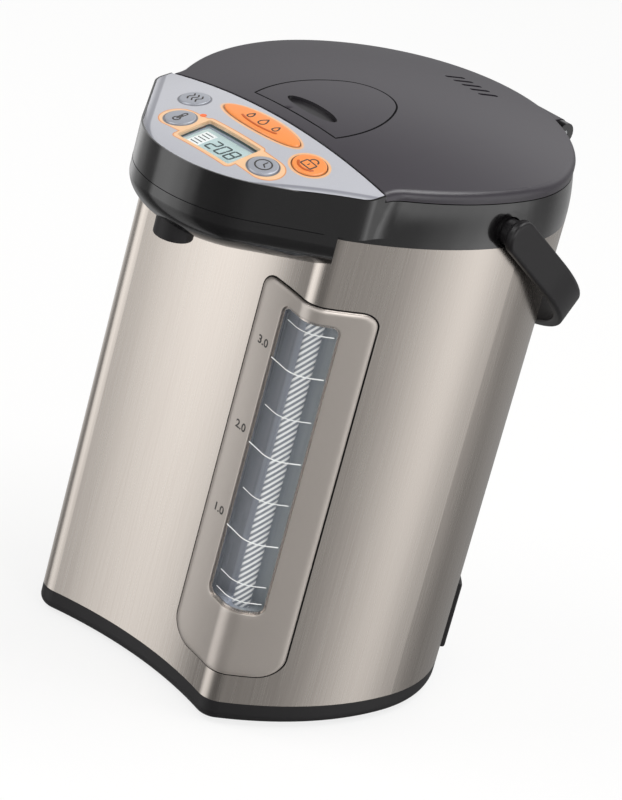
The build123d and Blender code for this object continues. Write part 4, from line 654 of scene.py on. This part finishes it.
# Warm silver paint under lacquer on the window's surround: fine flakes, soft gloss
TRIM = skinned(
    "warm_silver_paint", "C2BAB3", 0.36, (0.3, 0.003, (0.32, 0.42), 3.0), ("BEB6AF", "C8C0B9"),
    metallic=0.75, coat_weight=0.25, coat_roughness=0.2,
)
ORANGE = key_plastic("key_cap_orange", "E98842", "EE9450")
# A darker copy of the key's orange for the finger ridges: painted shade
ORANGE_PAINTED_SHADE = key_plastic("key_cap_orange_painted_shade", "B8541A", "C45E22")
SILVER_KEY = key_plastic("key_cap_silver", "A4A7B0", "AEB1B9", 0.35)
DARK_INK = print_ink("ink_dark_grey", "3B3836")
WHITE_INK = print_ink("ink_white", "F1F3F2")
SEGMENT = print_ink("liquid_crystal_dark", "2B3A38", 0.35)

NODE_FINISH = {
    "body_shell": STEEL,
    "inner_tank": DRAWN, "vacuum_jacket": DRAWN, "inner_lid": DRAWN, "heater_plate": DRAWN,
    "pump_motor": MOTOR,
    "bottom_screws": SCREW, "board_screws": SCREW, "control_screws": SCREW, "lid_screws": SCREW,
    "inlet_contacts": SCREW, "hinge_pin": SCREW, "handle_pins": SCREW, "lever_pin": SCREW,
    "lid_shell": LID, "lid_lever": LEVER,
    "collar": COLLAR, "beak_cover": COLLAR, "vent_plate": COLLAR,
    "base_rim": BASE, "bottom_cover": BASE, "inlet_housing": BASE, "spout_nozzle": BASE, "lid_latch": BASE,
    "handle": HANDLE,
    "lid_tray": INNER, "tank_support": INNER, "thermostat": INNER, "pump_housing": INNER,
    "pump_impeller": INNER, "tact_switches": INNER,
    "gauge_channel": CHANNEL, "gauge_tube": TUBE,
    "mouth_seal": SILICONE, "lid_gasket": SILICONE, "suction_pipe": SILICONE, "pump_hose": SILICONE,
    "delivery_pipe": SILICONE,
    "foot_ring": RUBBER,
    "power_board": BOARD, "control_board": BOARD,
    "window_glass": WINDOW, "display_window": PANE, "lamp_lens": LAMP_LENS, "display_module": DISPLAY,
    "control_panel": PANEL, "window_trim": TRIM,
    "button_dispense": ORANGE, "button_unlock": ORANGE,
    "button_reheat": SILVER_KEY, "button_timer": SILVER_KEY, "button_temperature": SILVER_KEY,
}
for name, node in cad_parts.items():
    for index in range(len(node.material_slots)):
        node.material_slots[index].material = NODE_FINISH[name]
    if not node.material_slots:
        node.data.materials.append(NODE_FINISH[name])

# ------------------------------------------------------------------ surround of the level window


def upright_outline(sides, heights, corner, grow):
    """A rounded outline on the window between two sides and two heights, grown outwards."""
    middle = (sum(sides) / 2, sum(heights) / 2)
    half = ((sides[1] - sides[0]) / 2, (heights[1] - heights[0]) / 2)
    return rounded(middle, half[0] + grow, half[1] + grow, corner + grow, side=60)


def window_outline(grow):
    """The surround's outline, grown outwards."""
    return upright_outline(TRIM_SIDES, TRIM_HEIGHTS, TRIM_CORNERS, grow)


def glass_outline(grow):
    """The glass's outline, grown outwards."""
    return upright_outline(GLASS_SIDES, GLASS_HEIGHTS, GLASS_CORNER, grow)


def window_surround():
    """The surround as one ring: rows go up inside the glass's hole, over a small round, across the
    face, over a larger round and down outside. Across the face a row is a share of the way from the
    hole's outline to the outer one."""
    edge, drop, lip, foot = 2.6, 1.2, 0.35, 0.02
    quarter = [(1 - np.cos(a), 1 - np.sin(a)) for a in np.linspace(0, np.pi / 2, 6)]
    rows = [(glass_outline(GLASS_GAP), foot)]
    rows += [(glass_outline(GLASS_GAP + lip * run), TRIM_PROUD - lip * rise) for run, rise in quarter]
    start, end = glass_outline(GLASS_GAP + lip), window_outline(-edge)
    rows += [(start + (end - start) * share, TRIM_PROUD) for share in np.linspace(0, 1, 14)[1:-1]]
    rows += [(window_outline(-edge * rise), TRIM_PROUD - drop * run) for run, rise in quarter]
    rows.append((window_outline(0), foot))
    points = np.stack([on_ridge(row[:, 0], row[:, 1], proud) for row, proud in rows])
    return Shape().grid(points, around=True, over=True).piece("window_surround", "pot", "trim_silver", TRIM)


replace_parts(window_surround(), "window_trim")
# Painted shade in the seam round the surround: a thin dark line just outside its outline
seam = stroke(Shape(), window_outline(0.3), WINDOW_SEAM, on_ridge, 0.04, 0.1, closed=True)
seam.piece("window_seam", "pot", "base_plastic", SHADOW)

marks = Shape()
for heights, reach, width in (
    (LITRE_MARKS, LITRE_REACH, LITRE_WIDTH),
    (OTHER_MARKS, OTHER_REACH, OTHER_WIDTH),
):
    for height in heights:
        across = np.linspace(*reach, 48)
        path = np.stack([across, np.full_like(across, height)], -1)
        stroke(marks, path, width, on_ridge, GLASS_PROUD, 0.1)
marks.piece("scale_marks", "pot", "clear_plastic", WHITE_INK)


def written(words, size, place, surface, lift):
    """Numbers as a thin closed slab: the outline font's flat shape, thickened, then each point laid
    on a surface at its place across and up."""
    curve = bpy.data.curves.new("numbers", "FONT")
    curve.body = words
    curve.size = size
    curve.align_x = "CENTER"
    curve.align_y = "CENTER"
    curve.offset = 0.14
    curve.extrude = 0.5
    holder = bpy.data.objects.new("numbers", curve)
    mesh = bpy.data.meshes.new_from_object(holder)
    bpy.data.objects.remove(holder)
    flat = np.zeros(len(mesh.vertices) * 3)
    mesh.vertices.foreach_get("co", flat)
    flat = flat.reshape(-1, 3)
    height = np.where(flat[:, 2] > 0, lift, lift - 0.15)
    laid = surface(place[0] + flat[:, 0], place[1] + flat[:, 1], height)
    mesh.vertices.foreach_set("co", (laid * MM).ravel())
    mesh.materials.clear()
    return mesh


for count, height in enumerate(LITRE_MARKS, 1):
    place = (NUMBER_PLACE[0], height + NUMBER_PLACE[1])
    number = written(f"{count}.0", NUMBER_SIZE, place, on_ridge, TRIM_PROUD + 0.06)
    settle(number, f"scale_number_{count}", "pot", DARK_INK)

# ------------------------------------------------------------------ seams


def beak_line():
    """The beak from above, from one ridge to the other: a round nose between two straight sides."""
    angle = np.radians(np.linspace(-90, BEAK_SLOPE - 90, 60))
    nose = np.stack([NOSE_RADIUS * np.cos(angle), NOSE_Y + NOSE_RADIUS * np.sin(angle)], -1)
    way = np.array([np.cos(radians(BEAK_SLOPE)), np.sin(radians(BEAK_SLOPE))])
    reach = (BEAK_SIDE - nose[-1, 0]) / way[0]
    side = nose[-1] + way * np.linspace(0, reach, 20)[1:, None]
    right = np.concatenate([nose, side])
    return np.concatenate([right[:0:-1] * [-1, 1], right])


def beak_seam():
    """Painted shade in the seam round the beak where its cover meets the collar: a thin dark line of an oval
    section, upright and closed to a point at both ends, carried along the beak's outline."""
    path = beak_line()
    around = np.linspace(0, 2 * np.pi, 8, endpoint=False)[:, None]
    ahead = np.gradient(path, axis=0)
    ahead /= np.linalg.norm(ahead, axis=1)[:, None]
    outward = np.stack([ahead[:, 1], -ahead[:, 0]], -1)
    scale = np.ones(len(path))
    scale[[0, -1]] = 0
    place = path + outward * (np.cos(around) * scale * SEAM_HALF[0])[..., None]
    height = np.broadcast_to(SEAM_HEIGHT + np.sin(around) * scale * SEAM_HALF[1], place.shape[:2])
    shape = Shape().grid(np.concatenate([place, height[..., None]], -1), over=True)
    return shape.piece("beak_seam", "pot", "base_plastic", SHADOW)


beak_seam()


def lever_outline(grow):
    """The lever from above, grown outwards: a straight front, two bowed sides and a round tip."""
    side_x, side_y, side_radius = LEVER_SIDE
    tip_x, tip_y, tip_radius = LEVER_TIP
    side_radius, tip_radius, front = side_radius + grow, tip_radius + grow, LEVER_FRONT - grow
    start = np.degrees(np.arcsin((front - side_y) / side_radius))
    end = np.degrees(np.arctan2(tip_y - side_y, tip_x - side_x))
    side = arc((side_x, side_y), side_radius, start, end, 40)
    tip = arc((tip_x, tip_y), tip_radius, end, 90, 40)
    right = np.concatenate([side, tip[1:]])
    left = right[::-1] * [-1, 1]
    across = np.linspace(left[-1, 0], right[0, 0], 40)[1:-1]
    return np.concatenate([right, left[1:], np.stack([across, np.full_like(across, front)], -1)])


# Painted shade in the seam round the lid's lever and in the joint between the panel and the lid: thin dark
# lines
seam = stroke(Shape(), lever_outline(-0.1), LEVER_SEAM, on_crown, 0.0, 0.06, closed=True)
seam.piece("lever_seam", "lid", "base_plastic", SHADOW)
across = np.linspace(-JOINT_REACH, JOINT_REACH, 90)
path = np.stack([across, np.full_like(across, JOINT_Y)], -1)
seam = stroke(Shape(), path, JOINT_WIDTH, on_crown, -0.05, 0.12)
seam.piece("panel_joint", "pot", "base_plastic", SHADOW)

# ------------------------------------------------------------------ keys


def key_cap(name, material):
    """One key: rows go from the middle of its face over a rounded edge, down its wall, out and under
    its flange and in to its stem. A row is a share of the key's outline, grown, at a height under
    or over the panel's face."""
    x, y, half_length, half_depth = KEYS[name]
    stem = STEM_RADIUS / half_depth
    quarter = [(1 - np.cos(a), 1 - np.sin(a)) for a in np.linspace(0, np.pi / 2, 6)]
    flange, thickness = FLANGE
    under = -PANEL_WALL - FLANGE_GAP
    rows = [(share, 0.0, KEY_PROUD + KEY_DOME * (1 - share**2)) for share in np.linspace(0, 0.85, 7)]
    rows += [(1.0, -KEY_EDGE * rise, KEY_PROUD - KEY_EDGE * run) for run, rise in quarter]
    rows += [(1.0, 0.0, under), (1.0, flange, under), (1.0, flange, under - thickness)]
    rows += [(stem, 0.0, under - thickness), (stem, 0.0, STEM_FEET[name]), (0.0, 0.0, STEM_FEET[name])]
    share, grow, lift = np.array(rows).T[..., None]
    angle = np.linspace(0, 2 * np.pi, 96, endpoint=False)
    across = x + share * (half_length + grow) * np.cos(angle)
    along = y + share * (half_depth + grow) * np.sin(angle)
    shape = Shape().grid(on_crown(across, along, lift), around=True)
    slot = "orange_key" if material is ORANGE else "grey_key"
    cap = shape.piece(f"key_{name}", f"{name}_key", slot, material, sharp=50)
    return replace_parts(cap, f"button_{name}")


for key in ("dispense", "unlock"):
    key_cap(key, ORANGE)
for key in ("reheat", "timer", "temperature"):
    key_cap(key, SILVER_KEY)


def sign(name):
    """The printed sign on a key's face, made of raised lines: drops, a padlock, waves of steam, a
    thermometer or a clock."""
    x, y = KEYS[name][:2]
    shape = Shape()

    def line(path, width=0.9, closed=False):
        """One raised line on the key's face."""
        stroke(shape, path, width, on_crown, KEY_PROUD + 0.24, 0.12, closed=closed)

    if name == "dispense":
        angle = np.linspace(0, 2 * np.pi, 48, endpoint=False)
        drop = np.stack([2.3 * np.sin(angle) * np.sin(angle / 2) ** 1.2, 3.0 * np.cos(angle)], -1)
        for shift, size in ((-9.5, 0.9), (0.0, 1.2), (9.5, 0.9)):
            line(drop * size + [x + shift, y + 1.0], 0.9, True)
    if name == "unlock":
        line(rounded((x, y - 1.0), 3.7, 2.7, 0.7, side=8), 0.9, True)
        line(np.concatenate([[(x - 2.3, y + 1.9)], arc((x, y + 3.2), 2.3, 180, 10)]))
        line([(x, y - 0.4), (x, y - 1.6)])
    if name == "timer":
        line(arc((x, y), 4.6, 0, 354, 60), 0.9, True)
        line([(x, y + 3.0), (x, y)])
        line([(x, y), (x + 2.1, y - 1.2)])
    if name == "temperature":
        line(arc((x, y - 3.0), 1.9, 118, 422, 36))
        line([(x - 0.95, y - 1.3), (x - 0.95, y + 3.8)], 0.8)
        line([(x + 0.95, y - 1.3), (x + 0.95, y + 3.8)], 0.8)
        line(arc((x, y + 3.8), 0.95, 0, 180, 12), 0.8)
        line([(x, y - 2.8), (x, y + 1.4)], 1.0)
    if name == "reheat":
        rise = np.linspace(-3.6, 3.6, 30)
        for shift in (-3.0, 0, 3.0):
            line(np.stack([x + shift + 0.8 * np.sin(rise * 1.2), y + rise], -1))
    shape.piece(f"sign_{name}", f"{name}_key", "base_plastic", DARK_INK)


for key in KEYS:
    sign(key)

# Raised crescents that the finger feels on the two orange keys, in a darker orange that is painted shade on
# the ridge
for key, (spread, drop) in RIDGES.items():
    x, y = KEYS[key][:2]
    angle = np.radians(np.linspace(212, 328, 40))
    path = np.stack([x + spread * np.cos(angle), y + drop * np.sin(angle)], -1)
    crescent = stroke(Shape(), path, RIDGE_LINE, on_crown, KEY_PROUD + 0.22, 0.2)
    crescent.piece(f"finger_ridge_{key}", f"{key}_key", "orange_key", ORANGE_PAINTED_SHADE)

# ------------------------------------------------------------------ display


def screen_frame():
    """The grey frame between pane and display: rows go down under the pane, in over the display's
    edge and back up along the frame's inner wall."""
    x, y, half_length, half_depth = SCREEN
    outer = rounded((x, y), half_length - 0.2, half_depth - 0.2, 1.3)
    middle = rounded((x, y), half_length - 1.0, half_depth - 1.0, 1.0)
    border = rounded((x, y), half_length - 2.4, half_depth - 1.8, 0.6)
    rows = [on_crown(*outer.T, PANE_FLOOR), on_screen(*outer.T, 0.02), on_screen(*border.T, 0.02)]
    rows += [on_screen(*border.T, 0.25), on_crown(*middle.T, PANE_FLOOR)]
    shape = Shape().grid(np.stack(rows), around=True, over=True)
    return shape.piece("screen_frame", "pot", "panel_silver", FRAME_GREY)


screen_frame()
outline = rounded(SCREEN[:2], SCREEN[2] - 1.1, SCREEN[3] - 1.1, 0.8)
patch(Shape(), outline, on_screen, CELL, 0.3).piece("screen_cell", "pot", "display", DISPLAY)

# Segments of a digit from corner to corner, in half widths and half heights
SEGMENTS = {
    "top": ((-1, 1), (1, 1)),
    "upper_right": ((1, 1), (1, 0)),
    "lower_right": ((1, 0), (1, -1)),
    "bottom": ((-1, -1), (1, -1)),
    "lower_left": ((-1, 0), (-1, -1)),
    "upper_left": ((-1, 1), (-1, 0)),
    "middle": ((-1, 0), (1, 0)),
}
FIGURES = {
    "2": ("top", "upper_right", "middle", "lower_left", "bottom"),
    "0": ("top", "upper_right", "lower_right", "bottom", "lower_left", "upper_left"),
    "8": tuple(SEGMENTS),
}
digits = Shape()
for column, figure in enumerate("208"):
    middle = np.array([SCREEN[0] + DIGIT_PLACE[0] + column * DIGIT_STEP, SCREEN[1] + DIGIT_PLACE[1]])
    for segment in FIGURES[figure]:
        start, end = np.array(SEGMENTS[segment], float)
        corners = start + (end - start) * np.linspace(DIGIT_GAP, 1 - DIGIT_GAP, 4)[:, None]
        path = middle + corners * DIGIT + corners[:, 1:] * [DIGIT_LEAN, 0.0]
        stroke(digits, path, DIGIT_LINE, on_screen, CELL + 0.04, 0.1)
digits.piece("screen_digits", "pot", "display", SEGMENT)

outline = rounded((SCREEN[0] + LABEL[0], SCREEN[1] + LABEL[1]), LABEL[2], LABEL[3], 0.5)
label = patch(Shape(), outline, on_screen, CELL + 0.06, CELL - 0.1)
label.piece("screen_label", "pot", "display", WHITE_INK)
ticks = Shape()
for row in np.linspace(-5.0, 5.8, 5):
    path = SCREEN[:2] + np.array([(end, row) for end in DASHES])
    stroke(ticks, path, 0.8, on_screen, CELL + 0.08, 0.08)
ticks.piece("screen_label_marks", "pot", "display", SEGMENT)

# ------------------------------------------------------------------ stage, light and camera
stage_mesh = bpy.data.meshes.new("floor")
corners = FLOOR * np.array([(-1, -1, 0), (1, -1, 0), (1, 1, 0), (-1, 1, 0)])
stage_mesh.from_pydata(corners, [], [(0, 1, 2, 3)])
floor = bpy.data.objects.new("floor", stage_mesh)
bpy.context.scene.collection.objects.link(floor)
floor.visible_glossy = False


def floor_paper():
    """White studio paper. The camera sees it nearly white with the pot's shadow on it; the pot gets
    only the light that the paper really gives back."""
    material, tree, shader = finish("studio_paper_white", "F0EFED", 0.9)
    path = add(tree, "ShaderNodeLightPath")
    glow = add(tree, "ShaderNodeEmission", {"Color": (1, 1, 1, 1), "Strength": 1.0})
    share = add(tree, "ShaderNodeMath", {1: 0.8}, {0: path.outputs["Is Camera Ray"]}, operation="MULTIPLY")
    parts = {0: share.outputs[0], 1: shader.outputs[0], 2: glow.outputs[0]}
    mix = add(tree, "ShaderNodeMixShader", links=parts)
    tree.links.new(mix.outputs[0], tree.nodes["Material Output"].inputs["Surface"])
    return material


floor.data.materials.append(floor_paper())

# What shines reflects three pale cards. Each has a brightness round the compass, from +X in degrees,
# and one by the sine of the height, from straight down (-1) to straight up (1).
CARDS = (
    (  # low, in bands as the brushed body shows them
        (
            (-180, 0.32), (-162, 0.16), (-152, 0.16), (-143, 0.85), (-125, 1.0), (-110, 0.85), (-98, 0.5),
            (-85, 0.13), (-60, 0.11), (-20, 0.22), (5, 0.26), (16, 0.45), (26, 0.68), (36, 0.88), (49, 0.5),
            (60, 0.24), (74, 0.14), (100, 0.16), (128, 0.2), (160, 0.55), (180, 0.32),
        ),
        ((-1, 0.6), (-0.6, 0.8), (-0.46, 0.9), (-0.33, 1.66), (-0.15, 1.4), (0, 0), (1, 0)),
    ),
    (  # above the horizon, in front
        ((-180, 0.1), (-160, 0.1), (-135, 1.0), (40, 1.0), (70, 0.1), (180, 0.1)),
        ((-1, 0), (-0.15, 0), (0, 1.3), (0.3, 1.1), (0.5, 0.4), (0.68, 0.1), (1, 0.1)),
    ),
    (  # behind, high up
        (
            (-180, 0.2), (-150, 0), (60, 0), (90, 1.0), (110, 0.95),
            (127, 0.7), (150, 0.45), (170, 0.25), (180, 0.2),
        ),
        ((-1, 0), (-0.1, 0.15), (0.1, 0.3), (0.25, 0.62), (0.38, 1.1), (0.5, 1.0), (0.68, 0.2), (1, 0.1)),
    ),
)


def studio():
    """Soft studio: white where the camera looks, with the cards for what shines."""
    world = bpy.data.worlds.new("studio")
    bpy.context.scene.world = world
    world.use_nodes = True
    tree = world.node_tree
    tree.nodes.clear()
    place = add(tree, "ShaderNodeTexCoord").outputs["Generated"]
    compass = add(tree, "ShaderNodeTexGradient", links={"Vector": place}, gradient_type="RADIAL")
    parts = add(tree, "ShaderNodeSeparateXYZ", links={"Vector": place})
    halved = add(tree, "ShaderNodeMath", {1: 0.5}, {0: parts.outputs["Z"]}, operation="MULTIPLY")
    upwards = add(tree, "ShaderNodeMath", {1: 0.5}, {0: halved.outputs[0]}, operation="ADD").outputs[0]

    def shades(source, marks, span):
        """Grey levels along a value, from marks over a span on either side of zero."""
        ramp = add(tree, "ShaderNodeValToRGB", links={"Fac": source})
        ramp.color_ramp.interpolation = "EASE"
        stops = ramp.color_ramp.elements
        for mark, level in marks[1:-1]:
            stops.new(mark / (2 * span) + 0.5).color = (level, level, level, 1)
        stops[0].color = (marks[0][1],) * 3 + (1,)
        stops[-1].color = (marks[-1][1],) * 3 + (1,)
        return ramp.outputs["Color"]

    total = None
    for around, heights in CARDS:
        sides = {0: shades(compass.outputs["Fac"], around, 180), 1: shades(upwards, heights, 1)}
        card = add(tree, "ShaderNodeMath", links=sides, operation="MULTIPLY").outputs[0]
        if total is not None:
            card = add(tree, "ShaderNodeMath", links={0: card, 1: total}, operation="ADD").outputs[0]
        total = card
    path = add(tree, "ShaderNodeLightPath")
    fill = add(tree, "ShaderNodeBackground", {"Color": (1, 1, 1, 1), "Strength": 0.55})
    cards = add(tree, "ShaderNodeBackground", {"Strength": 1.0}, {"Color": total})
    white = add(tree, "ShaderNodeBackground", {"Color": (1, 1, 1, 1), "Strength": 1.0})
    gloss = {0: path.outputs["Is Glossy Ray"], 1: fill.outputs[0], 2: cards.outputs[0]}
    shiny = add(tree, "ShaderNodeMixShader", links=gloss)
    direct = {0: path.outputs["Is Camera Ray"], 1: shiny.outputs[0], 2: white.outputs[0]}
    seen = add(tree, "ShaderNodeMixShader", links=direct)
    add(tree, "ShaderNodeOutputWorld", links={"Surface": seen.outputs[0]})


studio()


def lamp(name, place, target, size, watts):
    """A square soft box that looks at a target."""
    data = bpy.data.lights.new(name, "AREA")
    data.shape = "SQUARE"
    data.size = size
    data.energy = watts
    made = bpy.data.objects.new(name, data)
    bpy.context.scene.collection.objects.link(made)
    made.location = place
    made.rotation_euler = (Vector(target) - Vector(place)).to_track_quat("-Z", "Y").to_euler()


lamp("key_light", (-1.1, -1.5, 2.0), (0, 0, 0.2), 1.2, 22)
lamp("top_light", (0.5, 0.6, 2.4), (0, 0, 0.3), 1.4, 30)
lamp("fill_light", (1.9, -0.6, 1.0), (0, 0, 0.2), 1.0, 8)

camera_data = bpy.data.cameras.new("camera")
camera_data.lens = LENS
camera_data.sensor_width = SENSOR
camera_data.clip_end = 50
camera = bpy.data.objects.new("camera", camera_data)
bpy.context.scene.collection.objects.link(camera)
camera.location = CAMERA_PLACE
camera.rotation_euler = CAMERA_TURN
bpy.context.scene.camera = camera
bpy.context.scene.view_settings.view_transform = "Standard"
